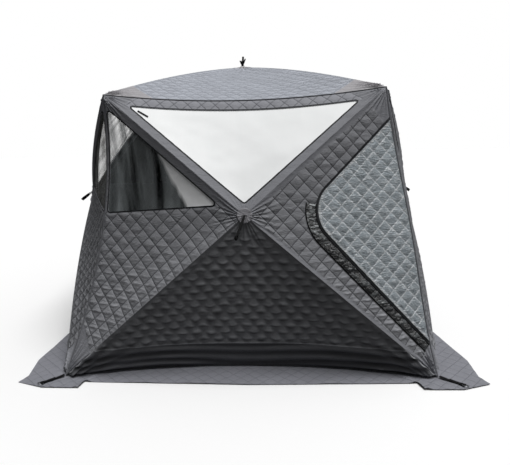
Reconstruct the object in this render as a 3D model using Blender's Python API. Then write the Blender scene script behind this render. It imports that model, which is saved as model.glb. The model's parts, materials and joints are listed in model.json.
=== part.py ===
# Pop-up sauna tent, 2.4 m square: five faces, each a cross of four glass-fibre poles pinned to a hub that is
# pushed out, with quilted gores sewn along the poles, clear film windows, a zipped door and a ground skirt.
# Metres, +Z up, the origin on the ground under the middle of the tent, -Y to the front with the door.
import math

import bpy
import bmesh
from mathutils import Matrix, Vector
from mathutils.geometry import delaunay_2d_cdt, intersect_line_line

# Outline of the tent
BASE_WIDTH = 2.40
TOP_WIDTH = 1.90
CORNER_HEIGHT = 1.86
WALL_POP = 0.285
ROOF_RISE = 0.27
POLE_BOW = 0.035
GORE_SAG = 0.018
CORNER_SEAM_BOW = 0.095
DOOR_SEAM_BOW = 0.03
EAVE_PULL_IN = 0.07
EAVE_SAG = 0.06
HEM_PULL_IN = 0.15

# Cloth
QUILT = 0.005
FILM = 0.0015
PLAIN_CLOTH = 0.002
GRID = 0.19
GRID_CLEARANCE = 0.085
EDGE_STEP = 0.17
ROUND_STEP = 0.045
SEW_GAP = 0.0008
SEAM_GAP = 0.0025
ROOF_SEAM_GAP = 0.0012
LAY_GAP = 0.0005
BINDING_RADIUS = 0.008
BINDING_SIDES = 6
BINDING_STEPS = 12
SKIRT_WIDTH = 0.21
SKIRT_END_WIDTH = 0.14
SKIRT_CLOTH = 0.004
SKIRT_TUCK = 0.006
SEAT = 0.0003

# Hubs and poles
HUB_RADIUS = 0.045
HUB_THICKNESS = 0.018
HUB_SIDES = 24
HUB_HOLE = 0.034
POLE_DEPTH = 0.028
SLOT_WIDTH = 0.0116
SLOT_START = 0.018
PIN_CIRCLE = 0.030
PIN_RADIUS = 0.003
PIN_CLEARANCE = 0.0003
PIN_GRIP = 0.003
PIN_SIDES = 10
BORE_SIDES = 12
EYE_RADIUS = 0.0055
EYE_END = 0.007
FERRULE_RADIUS = 0.0065
FERRULE_START = 0.026
FERRULE_LENGTH = 0.060
ROD_RADIUS = 0.00475
TIP_RADIUS = 0.0065
TIP_LENGTH = 0.034
TIP_STOP = 0.085
POLE_SIDES = 8
POLE_CHAMFER = 0.002
ROD_BENDS = 3
SHANK_RADIUS = 0.011
CAP_RADIUS = 0.042
CAP_THICKNESS = 0.004
CAP_SIDES = 20
STAPLE_WIDTH = 0.032
STAPLE_WIRE = 0.004
STAPLE_HEIGHT = 0.016

# Webbing straps
WEBBING = 0.0015
STRAP_WIDTH = 0.022
STRAP_LENGTH = 0.115
ROOF_STRAP_LENGTH = 0.115
STRAP_GAP = 0.0058
STRAP_DROOP = 45.0
LOOP_STEPS = 8
TIE_LENGTH = 0.40
TIE_WIDTH = 0.028
TIE_NECK = 0.008
TIE_NECK_LENGTH = 0.16
TIE_FLARE = 0.02
TIE_POINT = 0.03
TIE_DROP = 0.03
TIE_INSET = 0.012
PEG_LENGTH = 0.15
PEG_WIDTH = 0.025
PEG_THICKNESS = 0.004
PEG_START = 0.012
RING_RADIUS = 0.018
RING_WIRE = 0.002
RING_TURNS = 18
RING_SIDES = 6

# Windows, all set in from the sewn edges of their gore
WINDOW_POLE_INSET = 0.062
WINDOW_EAVE_INSET = 0.08
WINDOW_SEAM_INSET = 0.026
WINDOW_SILL = 0.075
WINDOW_SILL_FALL = 0.060
SIDE_WINDOW_POLE_INSET = 0.068
WINDOW_ROUND = 0.025
EAVE_WINDOW_ROUND = 0.02
SIDE_WINDOW_ROUND = 0.03

# Door in the right-hand gore of the front
DOOR_APEX_IN = 0.365
DOOR_APEX_UP = 0.022
DOOR_ROUND = 0.21
DOOR_ROUND_STEP = 0.06
DOOR_TOP_DROP = 0.21
DOOR_FOOT_RISE = 0.20
ZIP_WIDTH = 0.018
ZIP_THICKNESS = 0.003
FLAP_WIDTH = 0.075
FLAP_INSET = 0.004
FLAP_THICKNESS = 0.003
SLIDER_LENGTH = 0.030
SLIDER_WIDTH = 0.010
SLIDER_TAIL_WIDTH = 0.006
SLIDER_BODY = 0.0036
SLIDER_HEIGHT = 0.009
SLIDER_START = 0.085
SLIDER_SEAT = 0.0008
SLIDER_TRAVEL = 0.50
BRIDGE_LENGTH = 0.015
BRIDGE_WIDTH = 0.0036
BRIDGE_WIRE = 0.0018
PULL_LENGTH = 0.035
PULL_WINDOW = 0.0125
PULL_RIM = 0.0012
PULL_THICKNESS = 0.0016

# Chimney port
PORT_SIZE = 0.30
PORT_UP = 0.42
PORT_ROUND = 0.03

# How close pattern points count as one, and how close to a pole's line they count as on it
SAME_POINT = 1e-7
ON_LINE = 1e-5
# The least cosine of half a bend at which an offset line still keeps its full mitre
MITRE_LIMIT = 0.5

TOP, BOTTOM = "top", "bottom"
LEFT, RIGHT, FRONT, BACK = -1, 1, -1, 1
HEM_HEIGHT = SKIRT_CLOTH + SEAT + BINDING_RADIUS

# Colour, roughness and metallic of each material
MATERIALS = {
    "quilted_polyester": ((0.085, 0.088, 0.092), 0.75, 0.0),
    "silver_quilt": ((0.32, 0.35, 0.37), 0.45, 0.2),
    "roof_polyester": ((0.22, 0.23, 0.26), 0.70, 0.0),
    "skirt_polyester": ((0.12, 0.12, 0.13), 0.75, 0.0),
    "plain_polyester": ((0.12, 0.125, 0.13), 0.70, 0.0),
    "clear_film": ((0.80, 0.84, 0.86), 0.10, 0.0),
    "black_webbing": ((0.012, 0.012, 0.013), 0.60, 0.0),
    "glass_fibre": ((0.03, 0.03, 0.03), 0.40, 0.0),
    "moulded_nylon": ((0.02, 0.02, 0.02), 0.50, 0.0),
    "zip_nylon": ((0.015, 0.015, 0.016), 0.45, 0.0),
    "steel": ((0.60, 0.60, 0.60), 0.30, 1.0),
    "silicone_cloth": ((0.10, 0.10, 0.11), 0.55, 0.0),
}


def clear_scene():
    """Remove every object, so that the model starts from nothing."""
    for old in list(bpy.data.objects):
        bpy.data.objects.remove(old, do_unlink=True)


def material(name):
    """The named material, made the first time that it is asked for."""
    found = bpy.data.materials.get(name)
    if found:
        return found
    colour, roughness, metallic = MATERIALS[name]
    made = bpy.data.materials.new(name)
    made.use_nodes = True
    shader = made.node_tree.nodes["Principled BSDF"]
    shader.inputs["Base Color"].default_value = (*colour, 1.0)
    shader.inputs["Roughness"].default_value = roughness
    shader.inputs["Metallic"].default_value = metallic
    return made


def add_object(name, bm, finish, place=None):
    """An object from bmesh data, with a material, put at its place in the world."""
    bmesh.ops.recalc_face_normals(bm, faces=bm.faces)
    mesh = bpy.data.meshes.new(name)
    bm.to_mesh(mesh)
    bm.free()
    made = bpy.data.objects.new(name, mesh)
    bpy.context.scene.collection.objects.link(made)
    made.data.materials.append(material(finish))
    if place:
        made.matrix_world = place
    return made


def combine(target, tool, operation):
    """A Boolean of the target with a tool that is itself no part of the tent."""
    tool.hide_render = True
    tool.display_type = "WIRE"
    step = target.modifiers.new(operation.lower(), "BOOLEAN")
    step.operation = operation
    step.object = tool
    step.solver = "EXACT"


# The surface that all cloth follows

def corner(side, end, level):
    """One of the eight corners of the tent."""
    if level == TOP:
        return Vector((side * TOP_WIDTH / 2, end * TOP_WIDTH / 2, CORNER_HEIGHT))
    return Vector((side * BASE_WIDTH / 2, end * BASE_WIDTH / 2, HEM_HEIGHT))


def seam_pull(a, b):
    """How far cloth tension pulls the middle of the seam between two corners off its straight line."""
    if a[2] != b[2]:
        pull = DOOR_SEAM_BOW if a[:2] == (RIGHT, FRONT) else CORNER_SEAM_BOW
        return Vector((-a[0], -a[1], 0)) * pull
    inward = Vector((-(a[0] + b[0]) / 2, -(a[1] + b[1]) / 2, 0))
    if a[2] == TOP:
        return inward * EAVE_PULL_IN - Vector((0, 0, EAVE_SAG))
    return inward * HEM_PULL_IN


def seam_point(a, b, share):
    """A point on the seam from corner a to corner b."""
    straight = corner(*a).lerp(corner(*b), share)
    return straight + seam_pull(a, b) * 4 * share * (1 - share)


class Face:
    """One face of the tent, seen from outside, with its hub out in front of the crossing of its diagonals."""

    def __init__(self, name, corners, pop):
        self.name = name
        self.corners = corners
        self.pop = pop
        self.setback = BINDING_RADIUS + (ROOF_SEAM_GAP if name == "roof" else SEAM_GAP)
        p = [corner(*c) for c in corners]
        self.right = (p[1] - p[0]).normalized()
        self.out = (p[2] - p[0]).cross(p[1] - p[0]).normalized()
        self.up = self.out.cross(self.right)
        self.middle = intersect_line_line(p[0], p[2], p[1], p[3])[0]
        self.hub = self.middle + self.out * pop
        self.flat = [Vector(((q - self.middle).dot(self.right), (q - self.middle).dot(self.up))) for q in p]

    def frame(self, origin):
        """The placement whose X, Y and Z run right, up and out from this face."""
        turned = Matrix((self.right, self.up, self.out)).transposed().to_4x4()
        return Matrix.Translation(origin) @ turned

    def skin(self, edge, u, v, proud=0.0):
        """The place on the tent of the flat pattern point (u, v) in the gore at one edge."""
        a = self.flat[edge]
        b = self.flat[(edge + 1) % 4]
        area = a.x * b.y - a.y * b.x
        along_a = (u * b.y - v * b.x) / area
        along_b = (a.x * v - a.y * u) / area
        outer = along_a + along_b
        share = along_b / outer
        near_hub = 1 - outer
        seam = seam_point(self.corners[edge], self.corners[(edge + 1) % 4], share)
        rise = 4 * near_hub * (1 - near_hub) * (POLE_BOW - GORE_SAG * math.sin(math.pi * share))
        return seam * outer + self.hub * near_hub + self.out * (rise + proud)


def make_wall(name, first, second):
    """A wall between two upright seams, the first on its left from outside, from the eaves round to the foot."""
    return Face(name, [(*first, TOP), (*second, TOP), (*second, BOTTOM), (*first, BOTTOM)], WALL_POP)


FACES = {
    "front": make_wall("front", (LEFT, FRONT), (RIGHT, FRONT)),
    "right": make_wall("right", (RIGHT, FRONT), (RIGHT, BACK)),
    "back": make_wall("back", (RIGHT, BACK), (LEFT, BACK)),
    "left": make_wall("left", (LEFT, BACK), (LEFT, FRONT)),
    "roof": Face("roof", [(LEFT, BACK, TOP), (RIGHT, BACK, TOP), (RIGHT, FRONT, TOP), (LEFT, FRONT, TOP)],
                 ROOF_RISE),
}
CORNER_NAMES = ("top_left", "top_right", "bottom_right", "bottom_left")
ROOF_CORNER_NAMES = ("back_left", "back_right", "front_right", "front_left")
UPPER, RIGHT_HAND, LOWER, LEFT_HAND = range(4)


# Flat pattern outlines

def inset_line(a, b, distance):
    """The line from a to b moved to its right-hand side by a distance."""
    along = (b - a).normalized()
    side = Vector((along.y, -along.x)) * distance
    return a + side, b + side


def crossing(line, other):
    """Where two endless lines in the pattern cross."""
    (a, b), (c, d) = line, other
    r, s = b - a, d - c
    share = (c - a).cross(s) / r.cross(s)
    return a + r * share


def gore_lines(face, edge, pole_inset, edge_inset):
    """The outer line, the far pole's line and the near pole's line of a gore, each set in."""
    a = face.flat[edge]
    b = face.flat[(edge + 1) % 4]
    hub = Vector((0, 0))
    return inset_line(a, b, edge_inset), inset_line(b, hub, pole_inset), inset_line(hub, a, pole_inset)


def corner_setback(face, number):
    """How far short of a corner the cloth ends, along the pole, to clear the bindings of both seams there."""
    here = face.flat[number]
    to_hub = -here.normalized()
    nearest = min(to_hub.angle(face.flat[k] - here) for k in ((number + 1) % 4, (number + 3) % 4))
    return face.setback / math.sin(nearest)


def gore_outline(face, edge, sewn=False):
    """The four corners of a gore, clear of the seams' bindings and of the hub; sewn gores meet on the poles."""
    points = []
    for number, inset in ((edge, 1), ((edge + 1) % 4, -1)):
        here = face.flat[number]
        along = here.normalized()
        aside = Vector((along.y, -along.x)) * (0 if sewn else SEW_GAP / 2) * inset
        points.append((along * (here.length - corner_setback(face, number)) + aside, along * HUB_HOLE + aside))
    (near_outer, near_hub), (far_outer, far_hub) = points
    return [near_outer, far_outer, far_hub, near_hub]


def rounded(points, radii, step=ROUND_STEP):
    """An outline whose corners are rounded to the given radii, as points."""
    result = []
    count = len(points)
    for k, point in enumerate(points):
        radius = radii[k]
        if not radius:
            result.append(point)
            continue
        before = (points[k - 1] - point).normalized()
        after = (points[(k + 1) % count] - point).normalized()
        half = before.angle(after) / 2
        reach = radius / math.tan(half)
        centre = point + (before + after).normalized() * radius / math.sin(half)
        start = point + before * reach - centre
        finish = point + after * reach - centre
        turn = start.angle(finish)
        pieces = max(2, math.ceil(turn * radius / step))
        sign = 1 if start.cross(finish) > 0 else -1
        for piece in range(pieces + 1):
            angle = sign * turn * piece / pieces
            c, s = math.cos(angle), math.sin(angle)
            result.append(centre + Vector((start.x * c - start.y * s, start.x * s + start.y * c)))
    return result


def divided(points, step=EDGE_STEP, closed=True):
    """The same outline with points added along its long runs, so that it can follow the curved cloth."""
    result = []
    last = len(points) if closed else len(points) - 1
    for k in range(last):
        a = points[k]
        b = points[(k + 1) % len(points)]
        pieces = max(1, math.ceil((b - a).length / step))
        result += [a.lerp(b, n / pieces) for n in range(pieces)]
    if not closed:
        result.append(points[-1])
    return result


def offset_path(points, distance):
    """An open path moved to its left by a distance."""
    moved = []
    for k, point in enumerate(points):
        before = points[max(k - 1, 0)]
        after = points[min(k + 1, len(points) - 1)]
        first = (point - before).normalized() if k else (after - point).normalized()
        second = (after - point).normalized() if k < len(points) - 1 else first
        along = (first + second).normalized()
        stretch = 1 / max(along.dot(first), MITRE_LIMIT)
        moved.append(point + Vector((-along.y, along.x)) * distance * stretch)
    return moved


def inside(point, outline):
    """Whether a pattern point lies within an outline."""
    hit = False
    for k, a in enumerate(outline):
        b = outline[k - 1]
        if (a.y > point.y) != (b.y > point.y):
            if point.x < (b.x - a.x) * (point.y - a.y) / (b.y - a.y) + a.x:
                hit = not hit
    return hit


def clearance(point, outline):
    """How far a pattern point is from an outline."""
    nearest = math.inf
    for k, a in enumerate(outline):
        b = outline[k - 1]
        run = b - a
        share = min(max((point - a).dot(run) / run.length_squared, 0), 1)
        nearest = min(nearest, (point - a - run * share).length)
    return nearest


def cloth_points(outline, holes, marks):
    """The points inside an outline and outside its holes that a piece of cloth bends at."""
    across = [p.x for p in outline]
    upward = [p.y for p in outline]
    points = []
    for row in range(math.floor(min(upward) / GRID), math.ceil(max(upward) / GRID) + 1):
        for column in range(math.floor(min(across) / GRID), math.ceil(max(across) / GRID) + 1):
            spot = Vector(((column + 0.5 * (row % 2)) * GRID, row * GRID))
            held = inside(spot, outline) and not any(inside(spot, hole) for hole in holes)
            if held and all(clearance(spot, loop) > GRID_CLEARANCE for loop in [outline, *holes, *marks]):
                points.append(spot)
    return points


def outside_holes(flat, faces, holes):
    """The triangles whose middles lie in none of the holes."""
    kept = []
    for corners in faces:
        middle = sum((flat[k] for k in corners), Vector((0, 0))) / len(corners)
        if not any(inside(middle, hole) for hole in holes):
            kept.append(corners)
    return kept


def add_cloth(bm, face, edge, outline, holes=(), marks=(), low=-QUILT, high=0.0, sewn=False):
    """A closed piece of cloth on one gore, cut to a flat outline. It bends along the marks, where another piece
    lies on it, and a sewn piece is left open along its poles."""
    outline = divided(outline)
    holes = [divided(hole) for hole in holes]
    marks = [divided(mark) for mark in marks]
    points = []
    edges = []
    for loop in [outline, *holes, *marks]:
        start = len(points)
        edges += [(start + k, start + (k + 1) % len(loop)) for k in range(len(loop))]
        points += loop
    points += cloth_points(outline, holes, marks)
    flat, _, faces, *_ = delaunay_2d_cdt(points, edges, [], 1, SAME_POINT)
    faces = outside_holes(flat, faces, holes)
    poles = [face.flat[edge].normalized(), face.flat[(edge + 1) % 4].normalized()] if sewn else []
    joined = [(a, b) for pole in poles for a, p in enumerate(flat) for b, q in enumerate(flat)
              if abs(pole.cross(p)) < ON_LINE and abs(pole.cross(q)) < ON_LINE]
    pairs = [(face.skin(edge, p.x, p.y, low), face.skin(edge, p.x, p.y, high)) for p in flat]
    add_layers(bm, pairs, faces, joined)


def add_layers(bm, pairs, faces, joined=()):
    """A solid from pairs of points, below and above, and the faces of a layer, closed but for joined edges."""
    below = [bm.verts.new(low) for low, _ in pairs]
    above = [bm.verts.new(high) for _, high in pairs]
    sides = {}
    for corners in faces:
        bm.faces.new([above[k] for k in corners])
        bm.faces.new([below[k] for k in reversed(corners)])
        for k, start in enumerate(corners):
            end = corners[(k + 1) % len(corners)]
            sides[(start, end)] = True
    joined = set(joined)
    for start, end in sides:
        if (end, start) not in sides and (start, end) not in joined:
            bm.faces.new([above[end], above[start], below[start], below[end]])


# Plain solids

def add_prism(bm, outline, place, low, high):
    """An outline raised between two heights of a placement."""
    below = [bm.verts.new(place @ Vector((p[0], p[1], low))) for p in outline]
    above = [bm.verts.new(place @ Vector((p[0], p[1], high))) for p in outline]
    bm.faces.new(above)
    bm.faces.new(list(reversed(below)))
    for k in range(len(outline)):
        following = (k + 1) % len(outline)
        bm.faces.new([below[k], below[following], above[following], above[k]])


def ring_points(radius, sides, turn=0.0):
    """Points round a circle."""
    angles = [2 * math.pi * (k + turn) / sides for k in range(sides)]
    return [Vector((radius * math.cos(a), radius * math.sin(a))) for a in angles]


def add_tube(bm, path, radii, sides, across, endless=False):
    """A tube along a path, with a radius at each point; it ends in caps, or runs round into itself."""
    rings = []
    last = len(path) - 1
    for k, point in enumerate(path):
        before = path[k - 1 if endless else max(k - 1, 0)]
        after = path[(k + 1) % len(path) if endless else min(k + 1, last)]
        along = (after - before).normalized()
        side = (across - along * across.dot(along)).normalized()
        other = along.cross(side)
        ring = [bm.verts.new(point + side * p.x + other * p.y) for p in ring_points(radii[k], sides)]
        rings.append(ring)
    for k, second in enumerate(rings[1:] + rings[:1] if endless else rings[1:]):
        first = rings[k]
        for n in range(sides):
            following = (n + 1) % sides
            bm.faces.new([first[n], first[following], second[following], second[n]])
    if not endless:
        bm.faces.new(list(reversed(rings[0])))
        bm.faces.new(rings[-1])


def add_turned(bm, profile, place, sides):
    """A closed turned solid from a profile of (radius, height) pairs that starts and ends on the axis."""
    rings = []
    for radius, height in profile:
        if radius:
            rings.append([bm.verts.new(place @ Vector((p.x, p.y, height))) for p in ring_points(radius, sides)])
        else:
            rings.append([bm.verts.new(place @ Vector((0, 0, height)))])
    for first, second in zip(rings, rings[1:]):
        for k in range(sides):
            following = (k + 1) % sides
            corners = [first[k % len(first)], first[following % len(first)],
                       second[following % len(second)], second[k % len(second)]]
            bm.faces.new(list(dict.fromkeys(corners)))


def add_ring(bm, place, radius, wire):
    """A closed round ring of wire, flat in its placement."""
    rows = []
    for angle in (2 * math.pi * k / RING_TURNS for k in range(RING_TURNS)):
        outward = Vector((math.cos(angle), math.sin(angle), 0))
        points = [outward * (radius + p.x) + Vector((0, 0, p.y)) for p in ring_points(wire, RING_SIDES)]
        rows.append([bm.verts.new(place @ p) for p in points])
    for k, row in enumerate(rows):
        following = rows[(k + 1) % RING_TURNS]
        for n in range(RING_SIDES):
            m = (n + 1) % RING_SIDES
            bm.faces.new([row[n], following[n], following[m], row[m]])


def add_webbing_loop(bm, place, length, width):
    """A flat loop of webbing that hangs along -X from a bar at the placement's origin, as wide as Y."""
    inner = STRAP_GAP / 2
    outer = inner + WEBBING
    outlines = []
    for radius in (inner, outer):
        far = -(length - outer)
        near_end = [Vector((radius * math.cos(a), radius * math.sin(a)))
                    for a in (math.pi * (k / LOOP_STEPS - 0.5) for k in range(LOOP_STEPS + 1))]
        far_end = [Vector((far - radius * math.cos(a), -radius * math.sin(a)))
                   for a in (math.pi * (k / LOOP_STEPS - 0.5) for k in range(LOOP_STEPS + 1))]
        outlines.append(near_end + far_end)
    rows = []
    for outline in outlines:
        for y in (-width / 2, width / 2):
            rows.append([bm.verts.new(place @ Vector((p.x, y, p.y))) for p in outline])
    inner_low, inner_high, outer_low, outer_high = rows
    for k in range(len(inner_low)):
        m = (k + 1) % len(inner_low)
        bm.faces.new([outer_low[k], outer_low[m], outer_high[m], outer_high[k]])
        bm.faces.new([inner_low[m], inner_low[k], inner_high[k], inner_high[m]])
        bm.faces.new([inner_low[k], inner_low[m], outer_low[m], outer_low[k]])
        bm.faces.new([outer_high[k], outer_high[m], inner_high[m], inner_high[k]])


# Hubs and poles

def pole_height(face, share):
    """How far the seam over a pole stands out from the face's plane, at a share of the way to the hub."""
    return face.pop * share + POLE_BOW * 4 * share * (1 - share)


def hub_origin(face):
    """The middle of the hub's slotted disc, level with the pins."""
    shortest = min(p.length for p in face.flat)
    return face.middle + face.out * (pole_height(face, 1 - PIN_CIRCLE / shortest) - POLE_DEPTH)


def pole_frame(face, number):
    """The placement at a pole's pin: X towards the corner, Y along the pin, Z out."""
    toward = (face.right * face.flat[number].x + face.up * face.flat[number].y).normalized()
    turned = Matrix((toward, face.out.cross(toward), face.out)).transposed().to_4x4()
    return Matrix.Translation(hub_origin(face) + toward * PIN_CIRCLE) @ turned


def make_pole(name, face, number):
    """A bowed glass-fibre pole: an eye on the hub's pin, a ferrule, the rod and a moulded tip."""
    reach = face.flat[number].length
    tip = reach - PIN_CIRCLE - TIP_STOP
    rod_start = FERRULE_START + FERRULE_LENGTH
    rod_end = tip - TIP_LENGTH - POLE_CHAMFER
    stations = [(-EYE_END, EYE_RADIUS), (FERRULE_START - POLE_CHAMFER, EYE_RADIUS),
                (FERRULE_START, FERRULE_RADIUS), (rod_start, FERRULE_RADIUS),
                (rod_start + POLE_CHAMFER, ROD_RADIUS)]
    for k in range(1, ROD_BENDS + 1):
        stations.append((rod_start + (rod_end - rod_start) * k / (ROD_BENDS + 1), ROD_RADIUS))
    stations += [(rod_end, ROD_RADIUS), (rod_end + POLE_CHAMFER, TIP_RADIUS),
                 (tip, TIP_RADIUS - POLE_CHAMFER / 2)]
    at_pin = pole_height(face, 1 - PIN_CIRCLE / reach)
    path = [Vector((x, 0, pole_height(face, 1 - (PIN_CIRCLE + x) / reach) - at_pin)) for x, _ in stations]
    bm = bmesh.new()
    add_tube(bm, path, [r for _, r in stations], POLE_SIDES, Vector((0, 1, 0)))
    pole = add_object(name, bm, "glass_fibre", pole_frame(face, number))
    bore = bmesh.new()
    across = Matrix.Rotation(math.radians(90), 4, "X")
    add_prism(bore, ring_points(PIN_RADIUS + PIN_CLEARANCE, BORE_SIDES), across, -SLOT_WIDTH, SLOT_WIDTH)
    cutter = add_object("cut_eye_" + name, bore, "moulded_nylon", pole_frame(face, number))
    combine(pole, cutter, "DIFFERENCE")


def slotted_disc(face):
    """The outline of the hub's disc, with a slot towards each corner."""
    outline = []
    half = SLOT_WIDTH / 2
    mouth = math.asin(half / HUB_RADIUS)
    bearings = sorted(math.atan2(p.y, p.x) % (2 * math.pi) for p in face.flat)
    for k, bearing in enumerate(bearings):
        along = Vector((math.cos(bearing), math.sin(bearing)))
        side = Vector((-along.y, along.x)) * half
        lip = math.sqrt(HUB_RADIUS ** 2 - half ** 2)
        outline += [along * lip - side, along * SLOT_START - side,
                    along * SLOT_START + side, along * lip + side]
        following = bearings[(k + 1) % 4] + (2 * math.pi if k == 3 else 0)
        sweep = following - bearing - 2 * mouth
        steps = max(2, round(HUB_SIDES * sweep / (2 * math.pi)))
        for n in range(1, steps):
            angle = bearing + mouth + sweep * n / steps
            outline.append(Vector((math.cos(angle), math.sin(angle))) * HUB_RADIUS)
    return outline


def cap_seat(face):
    """How far above the pins the cap's underside lies: just over the highest cloth beneath it."""
    highest = -math.inf
    for edge in range(4):
        for p in divided(gore_outline(face, edge)[2:], HUB_HOLE / 4, closed=False):
            highest = max(highest, (face.skin(edge, p.x, p.y) - hub_origin(face)).dot(face.out))
    return highest + SEAT


def make_hub(face):
    """The hub: a slotted disc with four pins inside the cloth, a shank, and a cap with a staple outside."""
    name = face.name + "_hub"
    place = face.frame(hub_origin(face))
    flat = Matrix.Identity(4)
    bm = bmesh.new()
    add_prism(bm, slotted_disc(face), flat, -HUB_THICKNESS / 2, HUB_THICKNESS / 2)
    hub = add_object(name, bm, "moulded_nylon", place)

    pins = bmesh.new()
    half_pin = SLOT_WIDTH / 2 + PIN_GRIP
    for number in range(4):
        local = place.inverted() @ pole_frame(face, number) @ Matrix.Rotation(math.radians(90), 4, "X")
        add_prism(pins, ring_points(PIN_RADIUS, PIN_SIDES), local, -half_pin, half_pin)
    combine(hub, add_object("add_pins_" + name, pins, "steel", place), "UNION")

    under_cap = cap_seat(face)
    top = under_cap + CAP_THICKNESS
    shank = bmesh.new()
    profile = [(0, 0), (SHANK_RADIUS, 0), (SHANK_RADIUS, under_cap), (CAP_RADIUS, under_cap),
               (CAP_RADIUS, top - CAP_THICKNESS / 2), (CAP_RADIUS - CAP_THICKNESS / 2, top), (0, top)]
    add_turned(shank, profile, flat, CAP_SIDES)
    combine(hub, add_object("add_shank_" + name, shank, "moulded_nylon", place), "UNION")

    staple = bmesh.new()
    outer = STAPLE_WIDTH / 2
    inner = outer - STAPLE_WIRE
    foot = top - CAP_THICKNESS / 2
    head = top + STAPLE_HEIGHT
    legs = [(-outer, foot), (-inner, foot), (-inner, head - STAPLE_WIRE), (inner, head - STAPLE_WIRE),
            (inner, foot), (outer, foot), (outer, head), (-outer, head)]
    upright = Matrix.Rotation(math.radians(90), 4, "X")
    add_prism(staple, legs, upright, -STAPLE_WIRE / 2, STAPLE_WIRE / 2)
    combine(hub, add_object("add_staple_" + name, staple, "moulded_nylon", place), "UNION")


def strap_pivot(face):
    """The middle of the bar that a pull strap swings on."""
    return hub_origin(face) + face.out * (cap_seat(face) + CAP_THICKNESS + STAPLE_HEIGHT - STAPLE_WIRE / 2)


def make_pull_strap(face):
    """The webbing loop on a hub: it droops from a wall, and stands up from the roof."""
    angle, length = (90.0, ROOF_STRAP_LENGTH) if face.name == "roof" else (STRAP_DROOP, STRAP_LENGTH)
    hanging = face.frame(strap_pivot(face)) @ Matrix.Rotation(math.radians(90), 4, "Z")
    hanging = hanging @ Matrix.Rotation(math.radians(angle), 4, "Y")
    bm = bmesh.new()
    add_webbing_loop(bm, Matrix.Identity(4), length, STRAP_WIDTH)
    add_object(face.name + "_pull_strap", bm, "black_webbing", hanging)


# Windows

def top_window(face):
    """The clear triangle in the upper gore of a wall."""
    outer, far_pole, near_pole = gore_lines(face, UPPER, WINDOW_POLE_INSET, WINDOW_EAVE_INSET)
    points = [crossing(near_pole, outer), crossing(outer, far_pole), crossing(far_pole, near_pole)]
    return rounded(points, [EAVE_WINDOW_ROUND, EAVE_WINDOW_ROUND, WINDOW_ROUND])


def side_window(face, edge):
    """The clear upper half of a wall's left or right gore."""
    outer, far_pole, near_pole = gore_lines(face, edge, SIDE_WINDOW_POLE_INSET, WINDOW_SEAM_INSET)
    upper_pole = far_pole if edge == LEFT_HAND else near_pole
    outward = -1 if edge == LEFT_HAND else 1
    sill = (Vector((0, WINDOW_SILL)), Vector((outward, WINDOW_SILL - WINDOW_SILL_FALL)))
    points = [crossing(outer, upper_pole), crossing(upper_pole, sill), crossing(sill, outer)]
    return rounded(points, [SIDE_WINDOW_ROUND] * 3)


def shrunk(outline, distance):
    """A closed outline moved inwards all round by a small distance."""
    area = sum(outline[k - 1].cross(p) for k, p in enumerate(outline))
    sign = 1 if area > 0 else -1
    moved = []
    for k, point in enumerate(outline):
        first = (point - outline[k - 1]).normalized()
        second = (outline[(k + 1) % len(outline)] - point).normalized()
        along = (first + second).normalized()
        stretch = 1 / max(along.dot(first), MITRE_LIMIT)
        moved.append(point + Vector((-along.y, along.x)) * sign * distance * stretch)
    return moved


WINDOWS = {
    "front": {UPPER: top_window(FACES["front"]), LEFT_HAND: side_window(FACES["front"], LEFT_HAND)},
    "left": {UPPER: top_window(FACES["left"]), LEFT_HAND: side_window(FACES["left"], LEFT_HAND),
             RIGHT_HAND: side_window(FACES["left"], RIGHT_HAND)},
    "back": {UPPER: top_window(FACES["back"]), LEFT_HAND: side_window(FACES["back"], LEFT_HAND),
             RIGHT_HAND: side_window(FACES["back"], RIGHT_HAND)},
}

WINDOW_NAMES = {
    "front": {UPPER: "front_top_window", LEFT_HAND: "front_left_window"},
    "left": {UPPER: "left_top_window", LEFT_HAND: "left_rear_window", RIGHT_HAND: "left_front_window"},
    "back": {UPPER: "back_top_window", LEFT_HAND: "back_right_window", RIGHT_HAND: "back_left_window"},
}


def make_windows(face):
    """Clear film that fills each window opening of a wall, half way through the quilt."""
    low = -(QUILT + FILM) / 2
    for edge, name in WINDOW_NAMES[face.name].items():
        bm = bmesh.new()
        add_cloth(bm, face, edge, shrunk(WINDOWS[face.name][edge], SEW_GAP), low=low, high=low + FILM)
        add_object(name, bm, "clear_film")


def make_panel(name, face, edge):
    """One quilted gore that is a panel by itself, open where its window is."""
    window = WINDOWS.get(face.name, {}).get(edge)
    bm = bmesh.new()
    add_cloth(bm, face, edge, gore_outline(face, edge), [window] if window else [])
    add_object(name, bm, "quilted_polyester")


def make_cover(name, face, finish, marks=None):
    """Four gores sewn together along the poles, open where the face's windows are."""
    bm = bmesh.new()
    for edge in range(4):
        window = WINDOWS.get(face.name, {}).get(edge)
        lying = [marks[edge]] if marks and edge in marks else []
        add_cloth(bm, face, edge, gore_outline(face, edge, True), [window] if window else [], lying, sewn=True)
    bmesh.ops.remove_doubles(bm, verts=bm.verts, dist=2e-5)
    add_object(name, bm, finish)


# The door in the front's right-hand gore

def door_ends():
    """Where the zip meets the corner seam, above and below, and the apex between, in the front's pattern."""
    front = FACES["front"]
    top, foot = front.flat[1], front.flat[2]
    along = (foot - top).normalized()
    upper = top + along * DOOR_TOP_DROP
    lower = foot - along * DOOR_FOOT_RISE
    return upper, Vector((DOOR_APEX_IN, DOOR_APEX_UP)), lower


def zip_path():
    """The zip's centre line from the top of the corner seam round the apex to the foot of it."""
    upper, apex, lower = door_ends()
    behind = upper + lower - apex
    path = rounded([upper, apex, lower, behind], [0, DOOR_ROUND, 0, 0], DOOR_ROUND_STEP)[:-1]
    return divided(path, EDGE_STEP, closed=False)


def trimmed(path, line):
    """An open path whose first and last runs are cut or stretched to end on a line."""
    first = crossing((path[0], path[1]), line)
    last = crossing((path[-2], path[-1]), line)
    return [first] + path[1:-1] + [last]


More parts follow.
